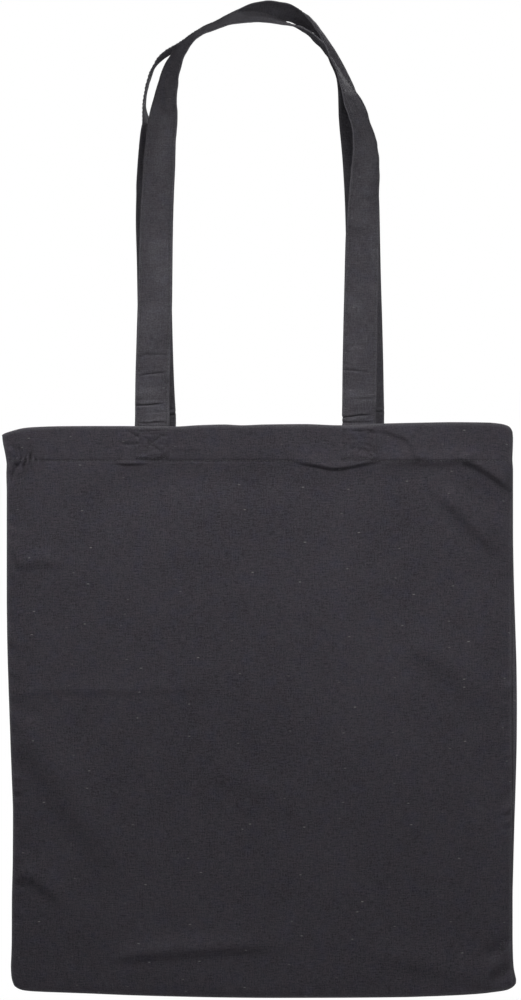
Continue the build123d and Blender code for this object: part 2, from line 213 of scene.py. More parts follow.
def patch(x, z, xc, seed):
    """The sewn end of a handle seen through the cloth: a raised square with a pulled edge and crossed stitches."""
    u, v = (x - xc) / (STRAP_W / 2), (z - (MOUTH - HEM_DEPTH / 2 + 0.5)) / (HEM_DEPTH / 2 - 1.0)
    inside = smooth((1.06 - np.abs(u)) / 0.14) * smooth((1.1 - v) / 0.1) * smooth((v + 1.08) / 0.12)
    d = 0.75 * inside
    q = 10.6
    zc = MOUTH - 3.0 - 10.8
    for sx, sz, w in ((x - xc, z - zc, 0.55),):
        on = (np.abs(sx) < q + 0.6) & (np.abs(sz) < q + 0.6)
        edge = np.minimum(np.abs(np.abs(sx) - q), np.abs(np.abs(sz) - q))
        cross = np.minimum(np.abs(sx - sz), np.abs(sx + sz)) / 1.414
        d = d - 0.55 * np.where(on, np.exp(-((edge / w) ** 2)) + 0.35 * np.exp(-((cross / w) ** 2)), 0)
    return d + inside * 0.34 * noise(x / 2.1, z / 1.7, seed) + inside * 0.42 * noise(x / 5.2, z / 3.2, seed + 1)


def hem_row(x, z, seed):
    """The row of stitches pulls the cloth in, a little at each stitch, and puckers it on both sides."""
    d = z - STITCH_Z - 0.4 * noise(x / 60, 0 * x, seed)
    pull = -0.42 * np.exp(-((d / 0.95) ** 2)) * (1 + 0.35 * np.cos(2 * math.pi * x / 3.0))
    pucker = 0.24 * noise(x / 3.1, z / 9, seed + 3) * np.exp(-((d / 5.5) ** 2))
    swell = 0.16 * np.exp(-(((d - 4.5) / 4.0) ** 2)) + 0.10 * np.exp(-(((d + 4.0) / 3.6) ** 2))
    band = 0.22 * smooth((d + 0.6) / 1.2)
    return pull + pucker + swell + band


def cloth_noise(x, z, seed):
    """The unevenness of washed, unpressed canvas."""
    near_side, _ = room_at(x, z)
    calm = smooth(near_side / 12)
    d = 1.15 * noise(x / 120, z / 150, seed) + 0.42 * noise(x / 46 + 3, z / 64, seed + 1)
    d = d + 0.10 * noise(x / 17, z / 21, seed + 2) + 0.035 * noise(x / 5.2, z / 6.4, seed + 4)
    d = d + 0.05 * noise(x / 40, z / 3.4, seed + 5) + 0.03 * noise(x / 3.1, z / 50, seed + 6)
    return d * (0.25 + 0.75 * calm)


def side_pucker(x, z, seed, side):
    """Small pulls along a side seam, where the thread holds the cloth shorter than it is."""
    e = (x - pchip(z, LZ, LX)) if side < 0 else (pchip(z, RZ, RX) - x)
    reach = 6.5 + 4.0 * noise(z / 23, 0 * z, seed)
    return 1.7 * noise(z / 4.6 + 0.06 * e, 0 * z + 0.3, seed + 1) * np.exp(-((e / reach) ** 2)) + 1.1 * noise(z / 13.0, 0 * z, seed + 2) * np.exp(-((e / (2 * reach)) ** 2))


def relief_front(x, z):
    d = cloth_noise(x, z, 11) + hem_row(x, z, 21)
    d = d + patch(x, z, FL_X, 31) + patch(x, z, FR_X, 37)
    d = d + side_pucker(x, z, 41, -1) + side_pucker(x, z, 47, 1)
    # the hem drops over the cloth below it, right of the middle
    d = d + fold(x, z, [(18.62, -334.73), (31.29, -335.85), (43.95, -338.08), (55.13, -339.94), (66.3, -338.45), (79.72, -335.85), (94.61, -334.36)], 2.4, 5.5, 1.3, (0.25, 0.25))
    d = d + fold(x, z, [(82.69, -334.73), (111.0, -333.98), (133.35, -334.36), (149.75, -333.24), (158.69, -333.61)], 2.3, 6.0, 3.8, (0.3, 0.2))
    # a crease runs down from there to the right side seam
    d = d + fold(x, z, [(146.76, -332.49), (156.45, -334.73), (166.13, -339.94), (175.82, -346.28), (187.74, -355.22)], 4.6, 9.0, 3.5, (0.2, 0.02))
    # the fold that starts at the right handle and turns down through the hem
    d = d + fold(x, z, [(85.67, -309.03), (94.61, -311.63), (102.59, -314.61), (109.52, -317.97), (113.09, -323.93), (116.22, -329.59), (122.92, -334.73)], 2.0, 8.0, 2.6, (0.3, 0.15))
    d = d + fold(x, z, [(66.3, -312.75), (78.22, -313.12), (88.66, -314.99), (94.61, -317.97)], -0.45, 1.6, 1.6)
    d = d + fold(x, z, [(62.58, -322.44), (73.75, -320.2), (84.19, -322.44)], 0.57, 1.8, 1.4)
    d = d + fold(x, z, [(67.8, -330.63), (79.72, -327.65), (90.14, -330.63)], -0.665, 1.8, 1.4)
    # long soft folds below it
    d = d + fold(x, z, [(125.91, -352.24), (144.53, -367.88), (163.16, -386.51), (182.53, -410.35)], 4.2, 9, 6, (0.3, 0.3))
    d = d + fold(x, z, [(142.29, -347.77), (163.16, -358.2), (187.74, -376.08)], -1.14, 6, 9, (0.4, 0.1))
    d = d + fold(x, z, [(29.05, -347.77), (58.85, -352.24), (103.55, -347.77), (140.81, -350.75)], -0.665, 6, 10, (0.4, 0.4))
    # the left end of the hem is gathered by its stitches
    for px, pz, pa, pr in [(-183.12, -334.73, -1.3, 0.9), (-181.11, -335.1, 1.0, 0.85), (-179.32, -335.47, -1.7, 0.9), (-177.46, -334.73, 1.1, 0.85), (-175.75, -335.1, -1.7, 0.9), (-173.88, -335.47, 1.1, 0.85), (-172.09, -335.1, -1.6, 0.9), (-170.16, -335.1, 0.9, 0.9), (-168.07, -335.1, -1.1, 1.0), (-165.69, -335.1, 0.5, 1.1), (-163.16, -335.1, -0.8, 1.2), (-157.94, -335.1, -0.5, 1.3)]:
        d = d + dent(x, z, px, pz, pr, 4.6, pa, 0.35 * math.sin(px * 1.9))
    d = d + fold(x, z, [(-181.41, -336.59), (-183.42, -341.81), (-185.5, -348.51), (-187.37, -353.73)], -2.4, 1.2, 2.0, (0.1, 0.5))
    d = d + fold(x, z, [(-175.82, -336.59), (-176.56, -343.3), (-179.54, -352.24)], -1.5, 1.3, 1.8, (0.1, 0.6))
    d = d + fold(x, z, [(-182.15, -334.36), (-184.76, -326.16), (-186.62, -319.46)], -1.6, 1.6, 2.6, (0.1, 0.6))
    d = d + fold(x, z, [(-172.09, -334.36), (-171.35, -326.91), (-169.12, -320.2)], -0.665, 1.6, 2.0, (0.1, 0.6))
    # small shadows beside the left handle's seam
    d = d + fold(x, z, [(-111.0, -336.14), (-99.08, -336.89), (-82.69, -336.29)], 1.3, 3.0, 0.9, (0.3, 0.3))
    d = d + fold(x, z, [(-107.28, -322.06), (-97.59, -323.18), (-85.67, -321.69)], -0.9, 1.5, 1.2)
    d = d + fold(x, z, [(-102.06, -311.26), (-94.61, -314.99), (-89.4, -319.46)], -0.57, 1.4, 1.6)
    d = d + fold(x, z, [(-69.28, -323.93), (-56.62, -326.16), (-40.98, -324.67)], 0.57, 3.0, 1.5)
    # pulls along the side seams
    for px, pz, pa, pr in [(-184.76, -575.74, -2.4, 9), (-184.76, -585.42, -2.2, 8), (-184.76, -626.4, -2.2, 9), (-184.76, -651.73, -2.4, 10), (-184.76, -677.8, -2.0, 9), (-187.74, -513.16, -0.8, 7), (187.0, -468.46, -0.7, 6), (187.74, -659.18, -2.0, 9), (187.74, -680.78, -2.0, 9)]:
        d = d + dent(x, z, px, pz, pr, 1.7, pa, 0.12 if px < 0 else -0.1)
    # soft folds near the foot
    d = d + fold(x, z, [(-116.97, -706.11), (-82.69, -702.39), (-45.45, -699.41), (-8.2, -697.54), (29.05, -696.43)], 3.0, 9, 3.2, (0.15, 0.4))
    d = d + fold(x, z, [(67.8, -699.41), (103.55, -706.86), (140.81, -715.8), (178.06, -724.74)], 2.2, 12, 6, (0.4, 0.1))
    d = d + fold(x, z, [(163.16, -705.37), (175.82, -699.41), (187.0, -690.47)], -2.0, 5, 5, (0.3, 0.05))
    d = d + fold(x, z, [(167.62, -724.74), (178.06, -718.03), (188.48, -711.33)], -2.4, 4, 4, (0.3, 0.05))
    # broad slack areas
    d = d + dent(x, z, -3.73, -408.86, 95, 70, 0.9) + dent(x, z, -105.05, -528.06, 70, 90, -0.7)
    d = d + dent(x, z, 103.55, -557.86, 70, 110, 0.8, 0.3)
    d = d + fold(x, z, [(-178.8, -335.1), (-179.84, -329.14), (-181.33, -322.44)], -1.7, 1.2, 1.7, (0.1, 0.5))
    d = d + fold(x, z, [(-172.47, -335.1), (-171.72, -330.63), (-169.86, -326.16)], -1.2, 1.1, 1.5, (0.1, 0.6))
    # soft folds across the slack cloth
    d = d + fold(x, z, [(-184.01, -529.55), (-164.65, -554.88), (-142.29, -587.66), (-116.97, -621.93), (-90.14, -650.24)], 4.2, 18, 12, (0.12, 0.45))
    d = d + fold(x, z, [(-182.53, -638.32), (-163.16, -650.24), (-137.82, -672.59)], 3.0, 8, 5, (0.12, 0.5))
    d = d + fold(x, z, [(97.59, -468.46), (125.91, -477.4), (149.75, -495.28), (169.12, -522.1)], 3.0, 13, 10)
    d = d + fold(x, z, [(-157.19, -405.88), (-134.84, -379.06), (-97.59, -358.2), (-45.45, -347.77), (21.61, -352.24), (67.8, -368.63)], -1.6, 15, 13)
    d = d + fold(x, z, [(-185.5, -508.69), (-149.75, -507.2), (-90.14, -506.45), (-15.64, -504.96)], 0.9, 7, 1.3, (0.05, 0.4))
    d = d + fold(x, z, [(-184.01, -413.33), (-164.65, -408.86), (-139.31, -413.33)], 2.0, 7, 4, (0.1, 0.6))
    d = d + fold(x, z, [(-45.45, -565.31), (-8.2, -574.25), (36.51, -596.6)], 1.2, 12, 12)
    d = d + fold(x, z, [(-2.23, -455.05), (21.61, -447.6), (51.41, -452.07)], 0.8, 9, 7)
    return d


def relief_back(x, z):
    d = cloth_noise(x, z, 111) + hem_row(x, z, 121)
    d = d + patch(x, z, BL_X, 131) + patch(x, z, BR_X, 137)
    d = d + side_pucker(x, z, 141, -1) + side_pucker(x, z, 147, 1)
    # soft pulls down from the handles, and the slack between them
    d = d + fold(x, z, [(BL_X - 6, MOUTH - 28), (BL_X - 26, MOUTH - 120), (BL_X - 38, MOUTH - 230)], 1.5, 9, 13, (0.1, 0.7))
    d = d + fold(x, z, [(BL_X + 9, MOUTH - 30), (BL_X + 26, MOUTH - 110), (BL_X + 34, MOUTH - 190)], -1.1, 10, 8, (0.1, 0.7))
    d = d + fold(x, z, [(BR_X + 4, MOUTH - 28), (BR_X + 22, MOUTH - 110), (BR_X + 36, MOUTH - 220)], 1.4, 13, 9, (0.1, 0.7))
    d = d + fold(x, z, [(BR_X - 10, MOUTH - 30), (BR_X - 30, MOUTH - 120), (BR_X - 36, MOUTH - 210)], -1.0, 8, 11, (0.1, 0.7))
    d = d + fold(x, z, [(-150, MOUTH - 90), (-60, MOUTH - 150), (30, MOUTH - 168)], 0.8, 16, 10)
    d = d + fold(x, z, [(-170, BOTTOM + 34), (-90, BOTTOM + 46), (10, BOTTOM + 40)], 0.8, 12, 7)
    d = d + fold(x, z, [(176, BOTTOM + 18), (120, BOTTOM + 62), (60, BOTTOM + 90)], 0.9, 8, 12)
    return d


RELIEF = {-1: relief_front, 1: relief_back}


def bulge(x, z):
    """How far a panel stands off the seams' plane."""
    share = np.clip((z - BOTTOM) / (MOUTH - BOTTOM), 0, 1.05)
    l, r = pchip(z, LZ, LX), pchip(z, RZ, RX)
    u = np.clip((x - (l + r) / 2) / ((r - l) / 2), -1, 1)
    belly = 1.6 * np.sin(np.pi * np.clip(share, 0, 1)) ** 1.2
    return (0.6 + 15.4 * share + belly) * (1 - u * u)


def stand(side, x, z):
    """Distance of a panel's mid surface from the seams' plane, without the rounding at its edges."""
    side_room, foot_room = room_at(x, z)
    k = smooth(np.minimum(side_room, foot_room) / 7.0)
    return GAP + CLOTH / 2 + bulge(x, z) + RELIEF[side](x, z) * (0.3 + 0.7 * k)


# ---------------------------------------------------------------------------
# Mesh making


def make_object(name, verts, quads, loop_normals=None, uv=None, wear_and_highlight=None, smooth_faces=True):
    """A mesh from arrays in millimetres. quads is (n, 4); a triangle repeats its last corner."""
    verts = np.asarray(verts, float).reshape(-1, 3) * MM
    quads = np.asarray(quads, np.int64).reshape(-1, 4)
    me = bpy.data.meshes.new(name)
    me.vertices.add(len(verts))
    me.vertices.foreach_set("co", verts.astype(np.float32).ravel())
    me.loops.add(quads.size)
    me.loops.foreach_set("vertex_index", quads.astype(np.int32).ravel())
    me.polygons.add(len(quads))
    me.polygons.foreach_set("loop_start", np.arange(0, quads.size, 4, dtype=np.int32))
    me.polygons.foreach_set("loop_total", np.full(len(quads), 4, np.int32))
    me.update(calc_edges=True)
    me.validate()
    me.polygons.foreach_set("use_smooth", np.full(len(me.polygons), smooth_faces, bool))
    if uv is not None:
        layer = me.uv_layers.new(name="cloth")
        flat = np.asarray(uv, np.float32).reshape(-1, 2)[quads.ravel()]
        layer.data.foreach_set("uv", flat.ravel())
    # per-vertex mask of the paler colour: rubbed edges plus painted highlight
    if wear_and_highlight is not None:
        at = me.attributes.new("wear_and_highlight", "FLOAT", "POINT")
        at.data.foreach_set("value", np.asarray(wear_and_highlight, np.float32).ravel())
    if loop_normals is not None:
        me.normals_split_custom_set(np.asarray(loop_normals, float).reshape(-1, 3).tolist())
    me.update()
    ob = bpy.data.objects.new(name, me)
    bpy.context.scene.collection.objects.link(ob)
    return ob


def unit(a):
    return a / np.maximum(np.linalg.norm(a, axis=-1, keepdims=True), 1e-12)


def grid_normals(P):
    """Normals of a grid of points, a cross of its two directions."""
    return unit(np.cross(np.gradient(P, axis=0), np.gradient(P, axis=1)))


def grid_quads(nu, nv, start=0, flip=False):
    i, j = np.meshgrid(np.arange(nu - 1), np.arange(nv - 1), indexing="ij")
    a = (start + i * nv + j).ravel()
    q = np.stack([a, a + nv, a + nv + 1, a + 1], 1)
    return q[:, ::-1] if flip else q


def cloth_sheet(name, M, T, UV, wear_and_highlight, N=None, take=None):
    """A closed sheet of cloth round the mid surface M[u, v], T thick, with its two faces and its cut edges.
    take is a slice of columns, so that two halves of one cloth share their normals where they meet."""
    N = grid_normals(M) if N is None else N
    flip = float((N * grid_normals(M)).sum(-1).mean()) < 0
    if take is not None:
        M, T, UV, wear_and_highlight, N = M[take], T[take], UV[take], wear_and_highlight[take], N[take]
    nu, nv = M.shape[:2]
    out, inn = M + N * T[..., None] / 2, M - N * T[..., None] / 2
    verts = np.concatenate([out.reshape(-1, 3), inn.reshape(-1, 3)])
    k = nu * nv
    qo, qi = grid_quads(nu, nv), grid_quads(nu, nv, k, True)
    flat_n = N.reshape(-1, 3)
    rims = []
    idx = np.arange(k).reshape(nu, nv)
    for line, rev in ((idx[:, 0], False), (idx[:, -1], True), (idx[0, :], True), (idx[-1, :], False)):
        a, b = line[:-1], line[1:]
        q = np.stack([a, a + k, b + k, b], 1)
        rims.append(q[:, ::-1] if rev else q)
    qr = np.concatenate(rims)
    quads = np.concatenate([qo, qi, qr])
    if flip:
        quads = quads[:, ::-1]
    v = verts[quads[-len(qr) :]]
    fn = unit(np.cross(v[:, 2] - v[:, 0], v[:, 3] - v[:, 1]))
    flat_n = np.concatenate([flat_n, -flat_n])
    ln = np.concatenate([flat_n[quads[: -len(qr)].ravel()], np.repeat(fn, 4, axis=0)])
    uv2 = np.concatenate([UV.reshape(-1, 2), UV.reshape(-1, 2)])
    return make_object(name, verts, quads, ln, uv2, np.concatenate([wear_and_highlight.ravel(), wear_and_highlight.ravel()]))


def edge_rounding(e, r):
    return np.sqrt(np.clip(1 - (1 - np.clip(e / r, 0, 1)) ** 2, 0, 1))


def spaced(a, b, n, fine=0.0, at=0.0):
    """n numbers from a to b, closer together near the end at (0 or 1) by fine."""
    t = np.linspace(0, 1, n)
    if fine:
        w = 1 - fine * np.exp(-(((t - at) / 0.06) ** 2))
        c = np.r_[0, np.cumsum((w[1:] + w[:-1]) / 2)]
        t = c / c[-1]
    return a + (b - a) * t


def edge_first(n, span, first):
    """n shares from 0 to 1 over span millimetres, starting with the small steps in first."""
    rest = np.linspace(first[-1], span, n - len(first) + 1)[1:]
    return np.r_[first, rest] / span


FINE = [0, 0.12, 0.35, 0.7, 1.1, 1.6, 2.2, 2.9, 3.8, 4.9]


def panel_mid(side, s, v):
    """Mid surface of one panel, from the foot up to the mouth, over the fold and down the turned-in hem."""
    S, V = np.meshgrid(s, v, indexing="ij")
    right = SEAM_R if side < 0 else RIGHT
    x, z = outline(S, V, right)
    if side > 0:
        z = z - 1.3 * smooth((V - 0.9) / 0.1) * smooth(np.minimum(S, 1 - S) / 0.05)
    span_x, span_z = 2 * HALF, MOUTH - BOTTOM
    e = np.minimum(S, 1 - S) * span_x
    f = V * span_z
    r = edge_rounding(e, 2.4) * edge_rounding(f, 2.2)
    d = stand(side, x, z)
    d = 0.12 + CLOTH / 2 * 0.4 + (d - 0.12 - CLOTH / 2 * 0.4) * r
    if side < 0:
        # the back panel's rolled edge shows beside this seam, so the front stands level with it there
        roll = np.clip((pchip(z, RZ, RX) - pchip(z, *table(SEAM_R, 1))) - 0.6, 0, 2.2)
        d = d + np.where(S > 0.5, 0.45 * roll * np.exp(-((e / 3.0) ** 2)), 0)
    # the fold at the mouth, then the hem going down inside
    nf = 9
    a = np.linspace(0, math.pi, nf + 1)[1:]
    top_x, top_z, top_d = x[:, -1:], z[:, -1:], d[:, -1:]
    open_top = edge_rounding(e[:, -1:], 3.0)
    r_f = FOLD_R * (0.25 + 0.75 * open_top)
    fx = np.repeat(top_x, nf, 1)
    fz = top_z + r_f * np.sin(a)[None, :]
    fd = top_d - r_f * (1 - np.cos(a))[None, :]
    down = np.r_[0.8, np.linspace(2.0, HEM_DEPTH - 0.6, 17)]
    v_down = 1 - down / span_z
    S2, V2 = np.meshgrid(s, v_down, indexing="ij")
    hx, hz = outline(S2, V2, right)
    hd = stand(side, hx, hz)
    r2 = edge_rounding(np.minimum(S2, 1 - S2) * span_x, 2.4)
    base2 = 0.12 + CLOTH / 2 * 0.4
    hd = base2 + (hd - base2) * r2
    hd = hd - 2 * FOLD_R * (0.25 + 0.75 * edge_rounding(np.minimum(S2, 1 - S2) * span_x, 3.0))
    hd = np.maximum(hd, 0.1)
    X = np.concatenate([x, fx, hx], 1)
    Z = np.concatenate([z - r_f * 0, fz, hz], 1)
    D = np.concatenate([d, fd, hd], 1)
    Z[:, : x.shape[1]] -= (FOLD_R + CLOTH / 2) * smooth((V - 0.97) / 0.03)
    Z[:, x.shape[1] :] -= FOLD_R + CLOTH / 2
    M = np.stack([X, SEAM_Y + side * D, Z], -1)
    U = np.concatenate([S * span_x, np.repeat(S[:, -1:] * span_x, nf, 1), S2 * span_x], 1)
    W = np.concatenate([f, span_z + FOLD_R * np.repeat(a[None, :], len(s), 0), 2 * span_z - f[:, -1:] + down[None, :] - 0 * S2[:, :1] + 0 * S2 - span_z + span_z * 0], 1)
    W[:, x.shape[1] + nf :] = span_z + FOLD_R * math.pi + down[None, :]
    all_e = np.concatenate([e, np.repeat(e[:, -1:], nf, 1), np.minimum(S2, 1 - S2) * span_x], 1)
    all_f = np.concatenate([f, np.full((len(s), nf + len(down)), span_z)], 1)
    T = CLOTH * (0.35 + 0.65 * np.minimum(smooth(all_e / 2.6), smooth(all_f / 2.6)))
    top_gap = np.concatenate([span_z - f, np.zeros((len(s), nf)), np.repeat(down[None, :], len(s), 0)], 1)
    # paler colour along the side and foot edges and along the fold at the mouth: partly rubbing of the cloth, partly
    # painted highlight where the fold catches the light
    wear_and_highlight = np.maximum.reduce([np.exp(-((all_e / 1.5) ** 2)), np.exp(-((all_f / 1.5) ** 2)), 0.9 * np.exp(-((top_gap / 1.3) ** 2))])
    return M, T, np.stack([U, W], -1) * MM, wear_and_highlight


# ---- front panel: one cloth, in two halves that meet in its middle -----------
def graded(start, stop, spacing):
    """Positions from start to stop with a spacing that changes on the way."""
    x = [start]
    while x[-1] < stop:
        x.append(x[-1] + spacing(x[-1]))
    x = np.array(x)
    return start + (x - start) * (stop - start) / (x[-1] - start)


def columns(left, right, near_ends, ends):
    """Where the columns of a panel's grid stand, across it: close together at its edges and over the sewn handle ends."""
    def spacing(base, edge):
        def at(x):
            d = np.min(np.abs(x - HALF - np.array(ends)))
            out = base + (near_ends - base) * smooth((19 - d) / 4)
            return out + (edge - out) * smooth((38 - x) / 6)
        return at
    low = np.array(FINE)
    l = graded(low[-1], HALF, spacing(left, 0.62 if left < 2.2 else 1.4))
    r = graded(low[-1], HALF, lambda x: spacing(right, 5.0)(2 * HALF - x) if x > 30 else 1.3)
    l, r = np.r_[low, l[1:]], np.r_[low, r[1:]]
    return np.r_[l, (2 * HALF - r[::-1])[1:]] / (2 * HALF), len(l) - 1


def rows(body, top):
    """Where its rows stand, from the foot to the mouth: close together at the foot and over the hem."""
    span = MOUTH - BOTTOM
    low = np.array(FINE)
    z = graded(low[-1], span, lambda x: body + (top - body) * smooth((x - (span - 72)) / 8))
    return np.r_[low, z[1:]] / span


s_f, mid = columns(2.0, 1.6, 0.8, [FL_X, FR_X])
v_f = rows(2.5, 0.74)
M, T, UV, wear_and_highlight = panel_mid(-1, s_f, v_f)
N = grid_normals(M)
front_left = cloth_sheet("front_panel_left", M, T, UV, wear_and_highlight, N, slice(0, mid + 1))
front_right = cloth_sheet("front_panel_right", M, T, UV, wear_and_highlight, N, slice(mid, len(s_f)))

# ---- back panel, with the roll of cloth that comes round the right side seam ---
s_b = columns(2.7, 2.7, 1.0, [BL_X, BR_X])[0]
v_b = rows(3.4, 0.95)
Mb, Tb, UVb, back_wear_and_highlight = panel_mid(1, s_b, v_b)
zr = Mb[-1, :, 2]
a_r = np.clip(pchip(zr, RZ, RX) - pchip(zr, *table(SEAM_R, 1)), 0.25, 4)
q_r = np.minimum(1.5, 0.62 * a_r)
extra = []
steps = [(w, 0) for w in np.linspace(0, math.pi / 2, 7)[1:]] + [(math.pi / 2, k) for k in np.linspace(0, 1, 5)[1:]]
for w, k in steps:
    xx = Mb[-1, :, 0] - 0.55 * a_r * (1 - math.cos(w)) - 0.45 * a_r * math.sin(k * math.pi / 2)
    yy = SEAM_Y - q_r * math.sin(w) + 0.8 * q_r * (1 - math.cos(k * math.pi / 2))
    extra.append(np.stack([xx, yy, zr], -1))
fade = smooth((MOUTH - 3 - zr) / 8) * smooth((np.arange(len(zr)) < len(v_b)) * 1.0)
extra = np.stack(extra)
extra = Mb[-1][None] + (extra - Mb[-1][None]) * fade[None, :, None]
Mb = np.concatenate([Mb, extra], 0)
Tb = np.concatenate([Tb, np.repeat(Tb[-1:], len(steps), 0)], 0)
d_u = np.cumsum(np.linalg.norm(np.diff(np.concatenate([Mb[len(s_b) - 1 : len(s_b)], extra], 0), axis=0), axis=-1), axis=0) * MM
UVb = np.concatenate([UVb, np.stack([UVb[-1, :, 0][None] + d_u, np.repeat(UVb[-1:, :, 1], len(steps), 0)], -1)], 0)
# the roll of cloth round the right seam gets the paler colour all along: painted highlight on its rounded edge, with
# some rubbing
back_wear_and_highlight = np.concatenate([back_wear_and_highlight, np.full((len(steps), back_wear_and_highlight.shape[1]), 0.8)], 0)
Nb = -grid_normals(Mb)
back = cloth_sheet("back_panel_cloth", Mb, Tb, UVb, back_wear_and_highlight, Nb)


# ---------------------------------------------------------------------------
# Handles: folded canvas straps. Each station gives the strap's two edges as seen from the front, and the
# ridge between them where the strap is curled; the depth follows from the strap's width.
A_ST = [
    (-93.87, -333.61, -68.99, -333.61, NAN, NAN),
    (-93.8, -319.46, -68.91, -319.46, NAN, NAN),
    (-93.65, -308.28, -68.76, -308.28, NAN, NAN),
    (-93.2, -274.76, -68.39, -274.76, NAN, NAN),
    (-92.38, -244.96, -67.5, -244.96, NAN, NAN),
    (-91.49, -215.16, -66.6, -215.16, NAN, NAN),
    (-90.74, -185.36, -66.3, -185.36, NAN, NAN),
    (-89.92, -155.56, -65.86, -155.56, NAN, NAN),
    (-88.43, -125.76, -64.67, -125.76, NAN, NAN),
    (-86.94, -103.41, -63.92, -103.41, NAN, NAN),
    (-84.93, -87.02, -62.95, -88.51, NAN, NAN),
    (-82.32, -74.35, -62.58, -75.84, NAN, NAN),
    (-78.97, -60.94, -62.58, -63.92, NAN, NAN),
    (-75.99, -49.77, -61.84, -54.24, NAN, NAN),
    (-73.38, -42.32, -60.34, -44.55, NAN, NAN),
    (-70.03, -34.12, -57.74, -35.61, NAN, NAN),
    (-65.56, -27.42, -55.13, -29.65, NAN, NAN),
    (-58.11, -20.34, -50.66, -23.69, NAN, NAN),
    (-47.68, -12.89, -43.21, -18.48, NAN, NAN),
    (-36.51, -7.67, -32.78, -14.6, NAN, NAN),
    (-26.07, -2.68, -22.35, -11.03, NAN, NAN),
    (-15.64, -0.07, -13.41, -9.91, NAN, NAN),
    (-4.47, 0.52, -3.73, -9.16, NAN, NAN),
    (5.21, -1.34, 5.21, -9.01, NAN, NAN),
    (14.15, -5.51, 13.56, -9.54, NAN, NAN),
    (22.57, -9.16, 21.98, -10.06, NAN, NAN),
    (29.8, -14.3, 31.66, -12.59, NAN, NAN),
    (37.99, -20.71, 41.27, -18.18, NAN, NAN),
    (44.7, -27.79, 48.42, -25.18, NAN, NAN),
    (50.66, -35.61, 52.52, -34.49, NAN, NAN),
    (59.23, -43.81, 55.65, -43.81, NAN, NAN),
    (65.04, -52.52, 57.37, -54.24, NAN, NAN),
    (70.63, -58.33, 59.23, -60.94, NAN, NAN),
    (76.73, -68.39, 62.21, -70.63, NAN, NAN),
    (81.95, -81.8, 66.3, -82.55, NAN, NAN),
    (85.67, -94.47, 68.54, -94.47, NAN, NAN),
    (87.61, -107.88, 68.17, -107.88, NAN, NAN),
    (88.28, -122.78, 66.68, -122.78, NAN, NAN),
    (87.84, -144.38, 64.81, -144.38, NAN, NAN),
    (87.46, -170.46, 63.33, -170.46, NAN, NAN),
    (87.17, -200.26, 62.58, -200.26, NAN, NAN),
    (86.57, -230.06, 61.84, -230.06, NAN, NAN),
    (85.97, -267.31, 61.09, -267.31, NAN, NAN),
    (85.45, -308.28, 60.72, -308.28, NAN, NAN),
    (85.38, -319.46, 60.64, -319.46, NAN, NAN),
    (85.3, -333.61, 60.57, -333.61, NAN, NAN),
]
B_ST = [
    (-88.95, -333.61, -64.14, -333.61, NAN, NAN),
    (-88.8, -319.46, -64.0, -319.46, NAN, NAN),
    (-88.66, -308.28, -63.85, -308.28, NAN, NAN),
    (-90.14, -274.76, -65.26, -274.76, NAN, NAN),
    (-91.04, -244.96, -66.23, -244.96, NAN, NAN),
    (-91.64, -215.16, -66.9, -215.16, NAN, NAN),
    (-92.16, -185.36, -67.42, -185.36, NAN, NAN),
    (-92.9, -155.56, -68.54, -155.56, NAN, NAN),
    (-92.38, -125.76, -69.28, -125.76, NAN, NAN),
    (-91.26, -103.41, -70.78, -103.41, NAN, NAN),
    (-90.14, -90.0, -75.25, -90.74, NAN, NAN),
    (-89.4, -79.57, -83.07, -80.31, NAN, NAN),
    (-89.03, -72.86, -85.82, -73.61, NAN, NAN),
    (-87.17, -63.92, -84.71, -64.67, NAN, NAN),
    (-84.93, -51.26, -82.32, -52.0, NAN, NAN),
    (-81.95, -41.57, -79.72, -43.06, NAN, NAN),
    (-78.6, -36.8, -76.36, -39.34, NAN, NAN),
    (-74.5, -31.89, -71.52, -35.46, NAN, NAN),
    (-68.54, -27.42, -64.81, -31.51, NAN, NAN),
    (-60.34, -22.35, -57.37, -25.93, NAN, NAN),
    (-51.41, -16.24, -48.42, -20.71, NAN, NAN),
    (-41.72, -10.5, -37.99, -15.5, NAN, NAN),
    (-29.8, -4.32, -26.82, -11.03, NAN, NAN),
    (-20.86, 0.89, -18.62, -8.05, NAN, NAN),
    (-12.66, 4.62, -11.18, -6.56, NAN, NAN),
    (-4.1, 7.67, -3.73, -5.07, NAN, NAN),
    (4.47, 8.79, 4.1, -5.44, NAN, NAN),
    (13.71, 8.05, 11.55, -6.18, NAN, NAN),
    (22.05, 6.11, 18.18, -6.93, NAN, NAN),
    (29.05, 1.94, 22.87, -7.97, 27.57, -2.31),
    (34.64, -4.69, 27.34, -10.95, 33.15, -3.95),
    (37.85, -9.54, 32.48, -13.56, 38.44, -7.75),
    (41.65, -14.9, 38.52, -15.72, 44.48, -14.68),
    (44.48, -20.79, 42.32, -19.82, 49.69, -21.83),
    (47.83, -28.53, 45.82, -26.3, 54.83, -29.65),
    (51.78, -36.36, 49.54, -34.12, 59.9, -38.22),
    (56.62, -45.3, 53.64, -42.69, 65.11, -47.9),
    (61.84, -54.98, 56.47, -51.26, 69.73, -58.33),
    (67.8, -65.41, 57.37, -60.94, 74.13, -69.14),
    (74.5, -76.59, 57.89, -72.12, 77.85, -81.06),
    (81.2, -91.49, 58.48, -87.02, NAN, NAN),
    (84.56, -104.9, 60.49, -103.41, NAN, NAN),
    (86.27, -119.8, 61.69, -119.8, NAN, NAN),
    (87.76, -144.38, 62.95, -144.38, NAN, NAN),
    (88.28, -170.46, 63.62, -170.46, NAN, NAN),
    (88.95, -200.26, 64.14, -200.26, NAN, NAN),
    (89.85, -230.06, 65.04, -230.06, NAN, NAN),
    (90.74, -267.31, 65.93, -267.31, NAN, NAN),
    (91.34, -308.28, 66.53, -308.28, NAN, NAN),
    (91.41, -319.46, 66.6, -319.46, NAN, NAN),
    (91.49, -333.61, 66.68, -333.61, NAN, NAN),
]


